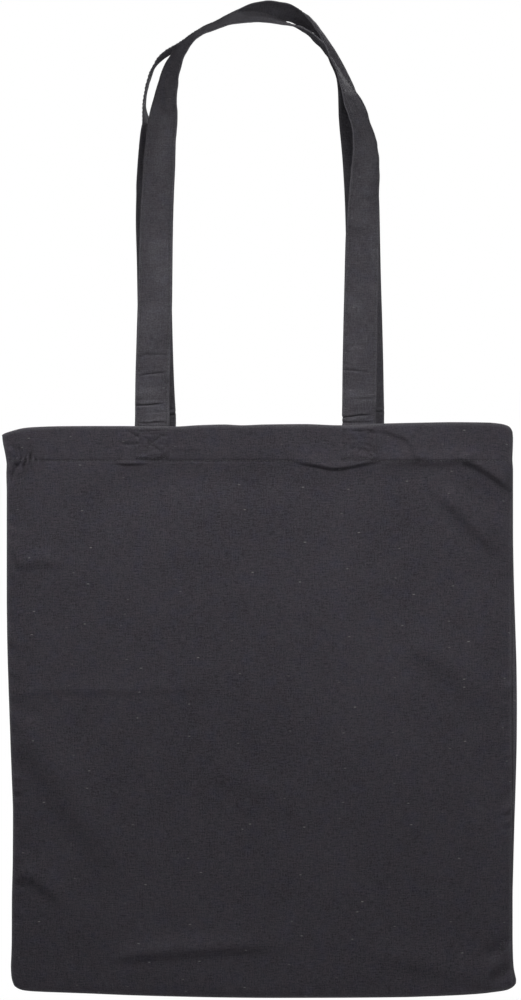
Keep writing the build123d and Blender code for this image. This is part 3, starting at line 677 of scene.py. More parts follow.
def at_camera(P):
    """Widens a handle's outline a little with its distance, as it hangs behind the front face."""
    k = 1 + (P[..., 1] * MM - CAM_REF_Y) / CAM_DIST
    Q = P.copy()
    Q[..., 0] = CAM_X / MM + (P[..., 0] - CAM_X / MM) * k
    Q[..., 2] = CAM_Z / MM + (P[..., 2] - CAM_Z / MM) * k
    return Q


def strap_lines(stations, near_first, y_low, y_high, sigma):
    """Edges and ridge of a strap as three smooth lines. near_first says that its first edge is the nearer one."""
    st = np.asarray(stations, float)
    O, I, R = st[:, 0:2], st[:, 2:4], st[:, 4:6]
    flat = np.isnan(R[:, 0])
    C = (O + I) / 2
    w = np.linalg.norm(I - O, axis=1)[:, None]
    grow = 1 + 0.9 * smooth((w - 8) / 12) / np.maximum(w, 1)
    O, I = C + (O - C) * grow, C + (I - C) * grow
    # take the cloth's own thickness off the outline
    w = np.linalg.norm(I - O, axis=1)
    edge = STRAP_T * np.sqrt(np.clip(1 - (w / STRAP_W) ** 2, 0, 1))
    k = np.clip((w - edge) / np.maximum(w, 1e-6), 0.12, 1)[:, None]
    O2 = np.where(flat[:, None], C + (O - C) * k, O)
    I2 = np.where(flat[:, None], C + (I - C) * k, I)
    R = np.where(flat[:, None], (O2 + I2) / 2, R)
    h = STRAP_W / 2
    to_o = np.sqrt(np.clip(h * h - ((O2 - R) ** 2).sum(1), 0, None))
    to_i = np.sqrt(np.clip(h * h - ((I2 - R) ** 2).sum(1), 0, None))
    zc = (O2[:, 1] + I2[:, 1]) / 2
    yc = y_low + (y_high - y_low) * np.clip((zc - MOUTH) / -MOUTH, 0, 1)
    sgn = -1 if near_first else 1
    lines = [
        np.stack([O2[:, 0], yc + sgn * to_o, O2[:, 1]], 1),
        np.stack([R[:, 0], yc, R[:, 1]], 1),
        np.stack([I2[:, 0], yc - sgn * to_i, I2[:, 1]], 1),
    ]
    mid_line = lines[1]
    q = np.r_[0, np.cumsum(np.linalg.norm(np.diff(mid_line, axis=0), axis=1))]
    n = int(q[-1] / 0.68)
    qq = np.linspace(0, q[-1], n)
    dense = np.stack([np.stack([pchip(qq, q, L[:, c]) for c in range(3)], 1) for L in lines])
    step = q[-1] / (n - 1)
    half_n = int(3 * sigma / step)
    kern = np.exp(-0.5 * (np.arange(-half_n, half_n + 1) * step / sigma) ** 2)
    kern /= kern.sum()
    out = np.empty_like(dense)
    for a in range(3):
        for c in range(3):
            v = dense[a, :, c]
            head = 2 * v[0] - v[half_n:0:-1]
            tail = 2 * v[-1] - v[-2 : -half_n - 2 : -1]
            out[a, :, c] = np.convolve(np.r_[head, v, tail], kern, "valid")
    return at_camera(out), qq


def strap_surface(lines, s):
    O, R, I = lines
    s = np.asarray(s)[None, :, None]
    O, R, I = O[:, None], R[:, None], I[:, None]
    return O * (1 - s) * (1 - 2 * s) + R * 4 * s * (1 - s) + I * s * (2 * s - 1)


def conform(M, side):
    """The sewn ends lie flat against the inside of the hem."""
    x, z = M[..., 0], M[..., 2]
    zz = np.minimum(z, MOUTH - 1.0)
    d = stand(side, x, zz) - 2 * FOLD_R - CLOTH / 2 - 0.08 - STRAP_T / 2
    y = SEAM_Y + side * d
    k = smooth((z - (MOUTH - 1.5)) / 26.0)
    Q = M.copy()
    Q[..., 1] = y * (1 - k) + M[..., 1] * k
    return Q


def strap_bumps(q, s, creases, seed):
    """Creases across the strap and its slight waviness, out of its outer face."""
    Q, S = np.meshgrid(q, s, indexing="ij")
    d = 0.72 * noise(Q / 17, S * 1.8, seed) + 0.38 * noise(Q / 7, S * 3, seed + 1)
    d = d + 0.06 * noise(Q / 2.6, S * 9, seed + 2)
    for q0, amp, w, s0, s1, slant in creases:
        line = Q - q0 - slant * (S - 0.5) - 0.6 * noise(S * 3 + q0, 0 * S, seed + 5)
        mask = smooth((S - s0 + 0.12) / 0.24) * smooth((s1 + 0.12 - S) / 0.24)
        d = d + 1.35 * amp * mask * (np.exp(-((line / w) ** 2)) - 0.55 * np.exp(-(((line - 2.1 * w) / (1.3 * w)) ** 2)) - 0.35 * np.exp(-(((line + 2.0 * w) / (1.2 * w)) ** 2)))
    return d


def strap_piece(name, lines, q, side, creases, seed):
    """The folded strap as one closed tube of cloth, with round folded edges and a groove along each row of stitches."""
    n_face = 19
    c = np.linspace(0, 1, n_face)
    s = 0.5 - 0.5 * np.cos(math.pi * (0.04 + 0.92 * c)) / math.cos(math.pi * 0.04)
    s = 0.35 * s + 0.65 * c
    M = strap_surface(lines, s)
    M = conform(M, side)
    n = unit(np.cross(np.gradient(M, axis=0), np.gradient(M, axis=1)))
    up = (q / q[-1])
    bumps = strap_bumps(q, s, creases, seed)
    fade = smooth((M[..., 2] - MOUTH + 0.4) / 2.6)
    M = M + n * (bumps * fade)[..., None] * strap_out[side]
    n = unit(np.cross(np.gradient(M, axis=0), np.gradient(M, axis=1))) * strap_out[side]
    u = np.abs(2 * s - 1)
    half_t = STRAP_T / 2 * (1 - u**7) ** 0.5
    groove = 0.17 * np.exp(-(((np.abs(s - 0.5) * STRAP_W - 10.3) / 0.8) ** 2))
    half_t = np.maximum(half_t - groove, 0.02)
    swell = 0.10 * np.exp(-(((np.abs(s - 0.5) * STRAP_W - 11.7) / 0.6) ** 2))
    half_t = half_t + swell * (u < 0.99)
    outer = M + n * half_t[None, :, None]
    inner = M - n * half_t[None, :, None]
    ring = np.concatenate([outer, inner[:, -2:0:-1]], 1)
    k = ring.shape[1]
    m = ring.shape[0]
    verts = ring.reshape(-1, 3)
    i, j = np.meshgrid(np.arange(m - 1), np.arange(k), indexing="ij")
    a, b = i * k + j, i * k + (j + 1) % k
    quads = np.stack([a.ravel(), (a + k).ravel(), (b + k).ravel(), b.ravel()], 1)
    caps = []
    for r, rev in ((0, False), (m - 1, True)):
        row = [r * k + t for t in range(k)]
        for t in range(0, n_face - 1):
            o0, o1 = t, t + 1
            i0, i1 = (k - t) % k, (k - t - 1) % k
            if t == 0:
                f = [row[0], row[1], row[k - 1], row[k - 1]]
            elif t == n_face - 2:
                f = [row[o0], row[o1], row[i0], row[i0]]
            else:
                f = [row[o0], row[o1], row[i1], row[i0]]
            caps.append(f[::-1] if rev else f)
    tri_safe = [f for f in caps]
    uvx = np.concatenate([s, 2 - s[-2:0:-1]]) * STRAP_W * MM
    uv = np.stack(np.broadcast_arrays(uvx[None, :], (q * MM)[:, None]), -1)
    # paler colour on the strap's folded edges (rubbing plus painted highlight) and on the raised crests of its creases
    # (painted highlight)
    w_edge = np.exp(-((np.minimum(s, 1 - s) * STRAP_W / 1.0) ** 2))
    edge_wear_and_highlight = np.concatenate([w_edge, w_edge[-2:0:-1]])
    crest = np.clip(np.concatenate([bumps, bumps[:, -2:0:-1]], 1) * 0.5, 0, 0.5)
    strap_wear_and_highlight = np.clip(edge_wear_and_highlight[None, :] * 0.8 + crest, 0, 1)
    ob = make_mixed(name, verts, quads, tri_safe, uv.reshape(-1, 2), strap_wear_and_highlight.ravel())
    return ob, M, n


def make_mixed(name, verts, quads, other, uv, wear_and_highlight):
    """A mesh of quads and a few triangles (whose last corner repeats)."""
    verts = np.asarray(verts, float) * MM
    faces = [list(map(int, f)) for f in quads] + [list(dict.fromkeys(int(v) for v in f)) for f in other]
    me = bpy.data.meshes.new(name)
    me.from_pydata(verts.tolist(), [], faces)
    me.update()
    bm = bmesh.new()
    bm.from_mesh(me)
    bmesh.ops.recalc_face_normals(bm, faces=bm.faces)
    bm.to_mesh(me)
    bm.free()
    me.polygons.foreach_set("use_smooth", np.ones(len(me.polygons), bool))
    idx = np.zeros(len(me.loops), np.int32)
    me.loops.foreach_get("vertex_index", idx)
    layer = me.uv_layers.new(name="cloth")
    layer.data.foreach_set("uv", np.asarray(uv, np.float32)[idx].ravel())
    # per-vertex mask of the paler colour: rubbed edges plus painted highlight
    at = me.attributes.new("wear_and_highlight", "FLOAT", "POINT")
    at.data.foreach_set("value", np.asarray(wear_and_highlight, np.float32).ravel())
    me.update()
    ob = bpy.data.objects.new(name, me)
    bpy.context.scene.collection.objects.link(ob)
    return ob


strap_out = {-1: -1.0, 1: 1.0}   # which way the outer face lies from the surface's own normal


def strap_creases(q_end, side_name):
    rise = 25.0
    left = lambda py: rise + py
    right = lambda py: q_end - rise - py
    if side_name == "front":
        return [
            (left(15.2), -0.8, 0.85, 0.0, 0.74, 1.0), (left(10.2), -0.25, 0.9, 0.5, 1.0, -2.0), (left(1.9), -0.6, 0.8, 0.15, 0.9, 0.0),
            (left(38.0), -0.5, 0.9, 0.15, 0.85, 3.5), (left(52.5), -0.28, 1.0, 0.2, 0.9, -1.0), (left(24.0), 0.3, 2.2, 0.0, 0.6, 2.0),
            (right(7.0), -0.9, 0.85, 0.25, 1.0, 1.8), (right(40.0), -0.45, 0.9, 0.25, 1.0, -2.5), (right(20.0), -0.3, 1.0, 0.0, 0.55, 2.0),
            (right(1.9), -0.5, 0.8, 0.1, 0.95, 0.0), (right(60.0), -0.2, 1.2, 0.3, 0.9, 1.0),
            (left(118.0), -0.16, 1.6, 0.1, 0.8, 4.0), (left(176.0), 0.16, 2.4, 0.3, 1.0, -5.0), (left(214.0), -0.16, 1.8, 0.0, 0.7, 4.0),
            (right(120.0), 0.16, 2.2, 0.2, 1.0, 4.0), (right(170.0), -0.5, 2.4, 0.1, 0.6, -4.0), (right(232.0), -0.22, 1.7, 0.3, 1.0, 6.0),
            (right(248.0), 0.25, 2.4, 0.0, 0.8, -5.0),
        ]
    return [
        (left(9.6), -0.95, 0.9, 0.0, 1.0, 1.5), (left(33.0), -0.4, 0.9, 0.0, 0.7, -2.5), (left(72.0), -0.2, 1.4, 0.2, 0.9, 3.0),
        (right(12.0), -0.5, 0.9, 0.0, 0.8, -1.5), (right(29.0), -0.35, 0.9, 0.3, 1.0, 2.5), (right(66.0), 0.2, 2.0, 0.1, 0.8, -3.0),
        (left(140.0), 0.2, 2.4, 0.0, 0.9, 5.0), (right(150.0), -0.2, 1.6, 0.1, 0.9, -5.0), (right(236.0), 0.2, 2.2, 0.2, 1.0, 4.0),
        (left(226.0), -0.18, 1.8, 0.1, 1.0, 3.0),
    ]


lines_a, q_a = strap_lines(A_ST, False, -26.6, -26.2, 4.0)
lines_b, q_b = strap_lines(B_ST, True, -1.4, 0.0, 4.0)
handle_front, Ma, Na = strap_piece("front_handle_strap", lines_a, q_a, -1, strap_creases(q_a[-1], "front"), 61)
handle_back, Mbk, Nbk = strap_piece("back_handle_strap", lines_b, q_b, 1, strap_creases(q_b[-1], "back"), 67)


# ---------------------------------------------------------------------------
# Thread: every stitch is its own little arch of thread that dives into the cloth


def stitch_rows(name, rows_, pitch=3.0, gap=0.55, radius=0.27, seed=3):
    verts, quads, uvs = [], [], []
    base = 0
    n_r, n_s = 6, 6
    for P, Nn in rows_:
        P, Nn = np.asarray(P, float), np.asarray(Nn, float)
        q = np.r_[0, np.cumsum(np.linalg.norm(np.diff(P, axis=0), axis=1))]
        count = max(1, int(q[-1] / pitch))
        step = q[-1] / count
        i = np.arange(count)
        jit = 0.16 * noise(i * 1.7, i * 0.3 + seed, seed)
        a = (i + 0.5 + jit) * step - (step - gap) / 2
        b = a + (step - gap)
        u = np.linspace(0, 1, n_r)
        s = a[:, None] + (b - a)[:, None] * u[None]
        pos = np.stack([np.interp(s, q, P[:, c]) for c in range(3)], -1)
        nor = unit(np.stack([np.interp(s, q, Nn[:, c]) for c in range(3)], -1))
        tan = unit(np.gradient(pos, axis=1))
        bi = unit(np.cross(tan, nor))
        slew = 0.12 * noise(i * 2.3, i * 0.7, seed + 1)[:, None, None] * (u[None, :, None] - 0.5)
        arch = (np.sin(math.pi * u) ** 0.6 * 0.24 - 0.14)[None, :, None]
        r = radius * (0.5 + 0.5 * np.sin(math.pi * u) ** 0.5)[None, :, None, None]
        ctr = pos + nor * arch + bi * slew * 2
        phi = np.linspace(0, 2 * math.pi, n_s, endpoint=False)
        ring = ctr[:, :, None] + r * (np.cos(phi)[None, None, :, None] * nor[:, :, None] * 0.85 + np.sin(phi)[None, None, :, None] * bi[:, :, None])
        verts.append(ring.reshape(-1, 3))
        uvs.append(np.stack(np.broadcast_arrays(s[:, :, None] * MM, (phi * radius)[None, None, :] * MM), -1).reshape(-1, 2))
        per = n_r * n_s
        k, j = np.meshgrid(np.arange(n_r - 1), np.arange(n_s), indexing="ij")
        aa, bb = k * n_s + j, k * n_s + (j + 1) % n_s
        one = np.stack([aa.ravel(), (aa + n_s).ravel(), (bb + n_s).ravel(), bb.ravel()], 1)
        e = (n_r - 1) * n_s
        caps = np.array([[0, 1, 2, 3], [0, 3, 4, 5], [e + 3, e + 2, e + 1, e], [e + 5, e + 4, e + 3, e]])
        one = np.concatenate([one, caps])
        quads.append((one[None] + (base + i * per)[:, None, None]).reshape(-1, 4))
        base += count * per
    v = np.concatenate(verts)
    ob = make_object(name, v, np.concatenate(quads), None, np.concatenate(uvs), np.zeros(len(v)))
    tidy(ob)
    return ob


def tidy(ob):
    bm = bmesh.new()
    bm.from_mesh(ob.data)
    bmesh.ops.recalc_face_normals(bm, faces=bm.faces)
    bm.to_mesh(ob.data)
    bm.free()
    ob.data.polygons.foreach_set("use_smooth", np.ones(len(ob.data.polygons), bool))
    ob.data.update()


def tube(paths, name, radius, n_s=6):
    """Round threads along open paths."""
    verts, quads, uvs, base = [], [], [], 0
    for P in paths:
        P = np.asarray(P, float)
        t = unit(np.gradient(P, axis=0))
        up = np.broadcast_to([0.13, 0.97, 0.2], t.shape)
        b = unit(np.cross(t, up))
        n = np.cross(b, t)
        q = np.r_[0, np.cumsum(np.linalg.norm(np.diff(P, axis=0), axis=1))]
        phi = np.linspace(0, 2 * math.pi, n_s, endpoint=False)
        ring = P[:, None] + radius * (np.cos(phi)[None, :, None] * n[:, None] + np.sin(phi)[None, :, None] * b[:, None])
        verts.append(ring.reshape(-1, 3))
        uvs.append(np.stack(np.broadcast_arrays(q[:, None] * MM, (phi * radius)[None] * MM), -1).reshape(-1, 2))
        k, j = np.meshgrid(np.arange(len(P) - 1), np.arange(n_s), indexing="ij")
        aa, bb = base + k * n_s + j, base + k * n_s + (j + 1) % n_s
        quads.append(np.stack([aa.ravel(), (aa + n_s).ravel(), (bb + n_s).ravel(), bb.ravel()], 1))
        e = base + (len(P) - 1) * n_s
        quads.append(np.array([[base, base + 1, base + 2, base + 3], [base, base + 3, base + 4, base + 5], [e + 3, e + 2, e + 1, e], [e + 5, e + 4, e + 3, e]]))
        base += len(P) * n_s
    v = np.concatenate(verts)
    ob = make_object(name, v, np.concatenate(quads), None, np.concatenate(uvs), np.zeros(len(v)))
    tidy(ob)
    return ob


def on_panel(side, x, z, lift=0.0):
    """Points and normals just on a panel's outer face."""
    x, z = np.asarray(x, float), np.asarray(z, float)
    h = 0.25
    d = stand(side, x, z)
    dx = (stand(side, x + h, z) - stand(side, x - h, z)) / (2 * h)
    dz = (stand(side, x, z + h) - stand(side, x, z - h)) / (2 * h)
    n = unit(np.stack([-dx, np.full_like(dx, side), -dz], -1) * np.array([1, 1, 1]))
    n = unit(np.stack([-dx, side * np.ones_like(dx), -dz], -1))
    p = np.stack([x, SEAM_Y + side * d, z], -1) + n * (CLOTH / 2 + lift)
    return p, n


def hem_line(side, x0, x1, seed):
    x = np.linspace(x0, x1, int(abs(x1 - x0) / 0.8))
    z = STITCH_Z + 0.4 * noise(x / 60, 0 * x, seed)
    return on_panel(side, x, z, 0.02)


x_lo = float(pchip(STITCH_Z, LZ, LX)) + 2.4
x_hi = float(pchip(STITCH_Z, RZ, RX)) - 3.0
hem_thread_left = stitch_rows("front_hem_thread_left", [hem_line(-1, x_lo, 0.0, 21)])
hem_thread_right = stitch_rows("front_hem_thread_right", [hem_line(-1, 0.0, x_hi, 21)])
hem_thread_back = stitch_rows("back_hem_thread", [hem_line(1, x_lo, x_hi, 121)])


def crossed(side, xc, name):
    q = 10.6
    zc = MOUTH - 3.0 - 10.8
    rows_ = []
    for (ax, az), (bx, bz) in (((-q, -q), (q, -q)), ((q, -q), (q, q)), ((q, q), (-q, q)), ((-q, q), (-q, -q)), ((-q, -q), (q, q)), ((-q, q), (q, -q))):
        t = np.linspace(0, 1, 30)
        rows_.append(on_panel(side, xc + ax + (bx - ax) * t, zc + az + (bz - az) * t, 0.02))
    return stitch_rows(name, rows_, pitch=2.7, radius=0.24, seed=9)


cross_fl = crossed(-1, FL_X, "front_left_crossed_thread")
cross_fr = crossed(-1, FR_X, "front_right_crossed_thread")
cross_bl = crossed(1, BL_X, "back_left_crossed_thread")
cross_br = crossed(1, BR_X, "back_right_crossed_thread")


def handle_rows(M, N, name):
    """Both rows of stitches along a handle, on its outer face."""
    out = []
    s_face = None
    n_face = M.shape[1]
    width = np.linalg.norm(np.diff(M, axis=1), axis=-1)
    for target in (2.2, STRAP_W - 2.2):
        P, Q = [], []
        for i in range(M.shape[0]):
            c = np.r_[0, np.cumsum(width[i])]
            c = c / c[-1] * STRAP_W
            P.append([np.interp(target, c, M[i, :, k]) for k in range(3)])
            Q.append([np.interp(target, c, N[i, :, k]) for k in range(3)])
        P, Q = np.array(P), unit(np.array(Q))
        out.append((P + Q * (STRAP_T / 2 - 0.10), Q))
    return stitch_rows(name, out, pitch=3.0, radius=0.24, seed=15)


thread_handle_f = handle_rows(Ma, Na, "front_handle_thread")
thread_handle_b = handle_rows(Mbk, Nbk, "back_handle_thread")


# ---------------------------------------------------------------------------
# Seam allowances inside the bag, bound with overlock thread
def allowance(name, side_x, vertical=True):
    t = 1.25
    if vertical:
        z = np.linspace(0, 1, 210)
        w = np.linspace(1.6, 8.4, 9)
        Zg, Wg = np.meshgrid(z, w, indexing="ij")
        at_x = (-HALF + Wg) if side_x < 0 else (HALF - Wg)
        Zg = (pchip(at_x, BX, BZ) + 3.4) * (1 - Zg) + (pchip(at_x, *table(TOP, 0)) - 4.2) * Zg
        if side_x < 0:
            X = pchip(Zg, LZ, LX) + Wg
        else:
            X = pchip(Zg, *table(SEAM_R, 1)) - Wg
        Y = SEAM_Y + 0.25 + 0.45 * noise(Zg / 26, Wg * 0 + 0.5, 71 + int(side_x > 0)) * (Wg / 8.4)
        M = np.stack([X, Y, Zg], -1)
        UV = np.stack([Wg, Zg - BOTTOM], -1) * MM
    else:
        x = np.linspace(pchip(BOTTOM + 20, LZ, LX) + 10.5, pchip(BOTTOM + 20, RZ, RX) - 10.5, 190)
        w = np.linspace(1.6, 8.4, 9)
        Xg, Wg = np.meshgrid(x, w, indexing="ij")
        M = np.stack([Xg, SEAM_Y + 0.2 + 0.25 * noise(Xg / 31, 0 * Xg + 0.5, 79) * (Wg / 8.4), pchip(Xg, BX, BZ) + Wg], -1)
        UV = np.stack([Xg + HALF, Wg], -1) * MM
    T = np.full(M.shape[:2], t) * (0.55 + 0.45 * smooth(Wg / 4.0))
    # paler colour along the allowance's free edge: partly rubbing, partly painted highlight
    return cloth_sheet(name, M, T, UV, 0.6 * np.exp(-(((8.4 - Wg) / 0.8) ** 2))), M


seam_l, Msl = allowance("left_seam_allowance", -1)
seam_r, Msr = allowance("right_seam_allowance", 1)
seam_b, Msb = allowance("bottom_seam_allowance", 0, False)


def overlock(M, name, inwards):
    """Thread that loops over a seam allowance's free edge, with a chain along it."""
    edge = M[:, -1]
    back_row = M[:, 4]
    q = np.r_[0, np.cumsum(np.linalg.norm(np.diff(edge, axis=0), axis=1))]
    n_loop = int(q[-1] / 3.2)
    t = np.linspace(0, 1, n_loop * 12 + 1)
    ph = t * n_loop * 2 * math.pi
    at = np.stack([np.interp(t * q[-1], q, edge[:, c]) for c in range(3)], 1)
    inn = np.stack([np.interp(t * q[-1], q, back_row[:, c]) for c in range(3)], 1)
    run = unit(np.gradient(at, axis=0))
    k = (0.5 - 0.5 * np.cos(ph))[:, None] * 0.9
    P = at + (inn - at) * k + run * (0.55 * np.sin(ph * 0.5 * 2))[:, None]
    P = P + np.array([0, 1.0, 0]) * (0.95 * np.sin(ph))[:, None] + unit(at - inn) * 0.28
    chain = []
    for lift in (-0.82, 0.82):
        c = inn + (at - inn) * 0.12 + np.array([0, 1.0, 0]) * (lift + 0 * t)[:, None] + unit(at - inn) * (0.18 * np.sin(ph * 1.0))[:, None]
        chain.append(c[::2])
    return tube([P] + chain, name, 0.19)


lock_l = overlock(Msl, "left_overlock_thread", 1)
lock_r = overlock(Msr, "right_overlock_thread", -1)
lock_b = overlock(Msb, "bottom_overlock_thread", 1)


# ---------------------------------------------------------------------------
# Materials


class Tree:
    def __init__(self, name):
        self.mat = bpy.data.materials.new(name)
        self.mat.use_nodes = True
        self.t = self.mat.node_tree
        self.t.nodes.clear()
        self.out = self.t.nodes.new("ShaderNodeOutputMaterial")
        self.uv = self.t.nodes.new("ShaderNodeUVMap")
        self.uv.uv_map = "cloth"

    def link(self, a, b):
        self.t.links.new(a, b)

    def put(self, socket, value):
        if hasattr(value, "links") or hasattr(value, "is_linked"):
            self.link(value, socket)
        else:
            socket.default_value = value

    def math(self, op, a, b=0.0, c=None, clamp=False):
        n = self.t.nodes.new("ShaderNodeMath")
        n.operation, n.use_clamp = op, clamp
        self.put(n.inputs[0], a)
        self.put(n.inputs[1], b)
        if c is not None:
            self.put(n.inputs[2], c)
        return n.outputs[0]

    def scaled(self, vec, xyz, shift=(0, 0, 0)):
        n = self.t.nodes.new("ShaderNodeMapping")
        self.link(vec, n.inputs["Vector"])
        n.inputs["Scale"].default_value = xyz
        n.inputs["Location"].default_value = shift
        return n.outputs[0]

    def noise(self, vec, scale=1.0, detail=3.0, rough=0.55, distortion=0.0):
        n = self.t.nodes.new("ShaderNodeTexNoise")
        n.noise_dimensions = "2D"
        self.link(vec, n.inputs["Vector"])
        n.inputs["Scale"].default_value = scale
        n.inputs["Detail"].default_value = detail
        n.inputs["Roughness"].default_value = rough
        n.inputs["Distortion"].default_value = distortion
        return n.outputs["Fac"]

    def ramp(self, fac, stops):
        n = self.t.nodes.new("ShaderNodeValToRGB")
        self.link(fac, n.inputs["Fac"])
        r = n.color_ramp
        while len(r.elements) < len(stops):
            r.elements.new(0.5)
        for e, (p, c) in zip(r.elements, stops):
            e.position = p
            e.color = c if len(c) == 4 else (*c, 1)
        return n.outputs["Color"]

    def remap(self, v, a, b, c, d, clamp=True):
        n = self.t.nodes.new("ShaderNodeMapRange")
        n.clamp = clamp
        self.put(n.inputs["Value"], v)
        for s, x in zip(("From Min", "From Max", "To Min", "To Max"), (a, b, c, d)):
            n.inputs[s].default_value = x
        return n.outputs["Result"]

    def mix(self, fac, a, b, how="MIX"):
        n = self.t.nodes.new("ShaderNodeMix")
        n.data_type, n.blend_type = "RGBA", how
        self.put(n.inputs[0], fac)
        self.put(n.inputs[6], a)
        self.put(n.inputs[7], b)
        return n.outputs[2]

    def bump(self, height, strength, distance, normal=None):
        n = self.t.nodes.new("ShaderNodeBump")
        n.inputs["Strength"].default_value = strength
        n.inputs["Distance"].default_value = distance
        self.link(height, n.inputs["Height"])
        if normal is not None:
            self.link(normal, n.inputs["Normal"])
        return n.outputs["Normal"]


def canvas(name, dark, light, wear_and_highlight_colour, pitch=0.66, mottle=1.0, nep=1.0, sheen=0.035):
    """Plain-woven cotton canvas: threads over and under, slubs both ways, mottled dye, a few pale neps, and a paler
    colour along edges, folds and crests that is partly rubbing and partly painted highlight.
    """
    g = Tree(name)
    uv = g.uv.outputs["UV"]
    p = pitch * MM
    wob = g.noise(g.scaled(uv, (220, 220, 1)), 1.0, 2.0)
    wob2 = g.noise(g.scaled(uv, (190, 240, 1), (7.3, 2.1, 0)), 1.0, 2.0)
    sep = g.t.nodes.new("ShaderNodeSeparateXYZ")
    g.link(uv, sep.inputs[0])
    pu = g.math("MULTIPLY", g.math("MULTIPLY_ADD", wob, 0.0006, sep.outputs[0]), math.pi / p)
    pv = g.math("MULTIPLY", g.math("MULTIPLY_ADD", wob2, 0.0006, sep.outputs[1]), math.pi / p)
    su, sv = g.math("SINE", pu), g.math("SINE", pv)
    au, av = g.math("ABSOLUTE", su), g.math("ABSOLUTE", sv)
    over = g.remap(g.math("MULTIPLY", su, sv), -0.12, 0.12, 0, 1)
    h1 = g.math("MULTIPLY", au, g.math("MULTIPLY_ADD", av, 0.5, 0.5))
    h2 = g.math("MULTIPLY", av, g.math("MULTIPLY_ADD", au, 0.5, 0.5))
    mixh = g.t.nodes.new("ShaderNodeMix")
    mixh.data_type = "FLOAT"
    g.link(over, mixh.inputs[0])
    g.link(h2, mixh.inputs[2])
    g.link(h1, mixh.inputs[3])
    weave = mixh.outputs[0]
    # slubs: thicker and thinner stretches of thread, weft and warp
    weft = g.noise(g.scaled(uv, (150, 1300, 1)), 1.0, 3.0, 0.6)
    warp = g.noise(g.scaled(uv, (1300, 130, 1), (3.1, 5.7, 0)), 1.0, 3.0, 0.6)
    grain = g.noise(g.scaled(uv, (900, 900, 1), (1.3, 9.2, 0)), 1.0, 2.0, 0.6)
    cloud = g.noise(g.scaled(uv, (42, 42, 1), (11, 4, 0)), 1.0, 4.0, 0.6)
    broad = g.noise(g.scaled(uv, (9, 9, 1), (2, 8, 0)), 1.0, 3.0, 0.5)
    tone = g.math("MULTIPLY_ADD", g.math("SUBTRACT", weft, 0.5), 1.05, 0.5)
    tone = g.math("MULTIPLY_ADD", g.math("SUBTRACT", warp, 0.5), 0.80, tone)
    tone = g.math("MULTIPLY_ADD", g.math("SUBTRACT", grain, 0.5), 1.15, tone)
    tone = g.math("MULTIPLY_ADD", g.math("SUBTRACT", cloud, 0.5), 0.30 * mottle, tone)
    tone = g.math("MULTIPLY_ADD", g.math("SUBTRACT", broad, 0.5), 0.30 * mottle, tone)
    tone = g.math("MULTIPLY_ADD", g.math("SUBTRACT", weave, 0.55), 0.42, tone, True)
    col = g.ramp(tone, [(0.0, dark), (0.5, tuple((a + b) / 2 for a, b in zip(dark, light))), (1.0, light)])
    # single thick threads, a little paler, along and across
    slub = g.remap(g.noise(g.scaled(uv, (95, 1050, 1), (4.2, 8.8, 0)), 1.0, 2.0, 0.55), 0.60, 0.76, 0, 0.34)
    col = g.mix(slub, col, (*light, 1))
    slub2 = g.remap(g.noise(g.scaled(uv, (1050, 110, 1), (9.1, 2.6, 0)), 1.0, 2.0, 0.55), 0.61, 0.78, 0, 0.26)
    col = g.mix(slub2, col, (*light, 1))
    # slight drift of the dye between warm and cool
    hue = g.noise(g.scaled(uv, (120, 120, 1), (5, 1, 0)), 1.0, 3.0)
    col = g.mix(g.remap(hue, 0.35, 0.65, 0, 0.55 * mottle), col, g.mix(1.0, col, (1.07, 0.98, 0.98, 1), "MULTIPLY"))
    hue2 = g.noise(g.scaled(uv, (75, 95, 1), (15, 21, 0)), 1.0, 2.0)
    col = g.mix(g.remap(hue2, 0.5, 0.75, 0, 0.6 * mottle), col, g.mix(1.0, col, (0.94, 0.97, 1.10, 1), "MULTIPLY"))
    # neps: short pale fibres caught in the weave
    vor = g.t.nodes.new("ShaderNodeTexVoronoi")
    vor.voronoi_dimensions = "2D"
    vor.feature = "F1"
    g.link(g.scaled(uv, (25, 66, 1), (0.4, 0.7, 0)), vor.inputs["Vector"])
    vor.inputs["Scale"].default_value = 1.0
    spot = g.remap(vor.outputs["Distance"], 0.012, 0.032, 1, 0)
    sepc = g.t.nodes.new("ShaderNodeSeparateColor")
    g.link(vor.outputs["Color"], sepc.inputs[0])
    some = g.remap(sepc.outputs[0], 0.35, 1.0, 0.0, 1.0)
    neps = g.math("MULTIPLY", g.math("MULTIPLY", spot, some), 0.75 * nep)
    col = g.mix(neps, col, (0.20, 0.195, 0.19, 1))
    # paler colour along edges, folds and crests: partly rubbing of the cloth, partly painted highlight
    wear_and_highlight_node = g.t.nodes.new("ShaderNodeAttribute")
    wear_and_highlight_node.attribute_name = "wear_and_highlight"
    wear_and_highlight = g.math("MULTIPLY", wear_and_highlight_node.outputs["Fac"], g.remap(grain, 0.3, 0.7, 0.35, 0.8))
    col = g.mix(wear_and_highlight, col, (*wear_and_highlight_colour, 1))
    b = g.t.nodes.new("ShaderNodeBsdfPrincipled")
    g.link(col, b.inputs["Base Color"])
    g.link(g.remap(tone, 0, 1, 0.98, 0.80), b.inputs["Roughness"])
    b.inputs["Specular IOR Level"].default_value = 0.12
    b.inputs["Sheen Weight"].default_value = sheen
    b.inputs["Sheen Roughness"].default_value = 0.55
    b.inputs["Sheen Tint"].default_value = (0.80, 0.80, 0.88, 1)
    nrm = g.bump(cloud, 0.25, 0.0012)
    nrm = g.bump(g.math("ADD", weft, g.math("ADD", warp, grain)), 0.45, 0.00030, nrm)
    nrm = g.bump(weave, 0.55, 0.00022, nrm)
    nrm = g.bump(neps, 0.5, 0.0003, nrm)
    g.link(nrm, b.inputs["Normal"])
    g.link(b.outputs[0], g.out.inputs["Surface"])
    return g.mat


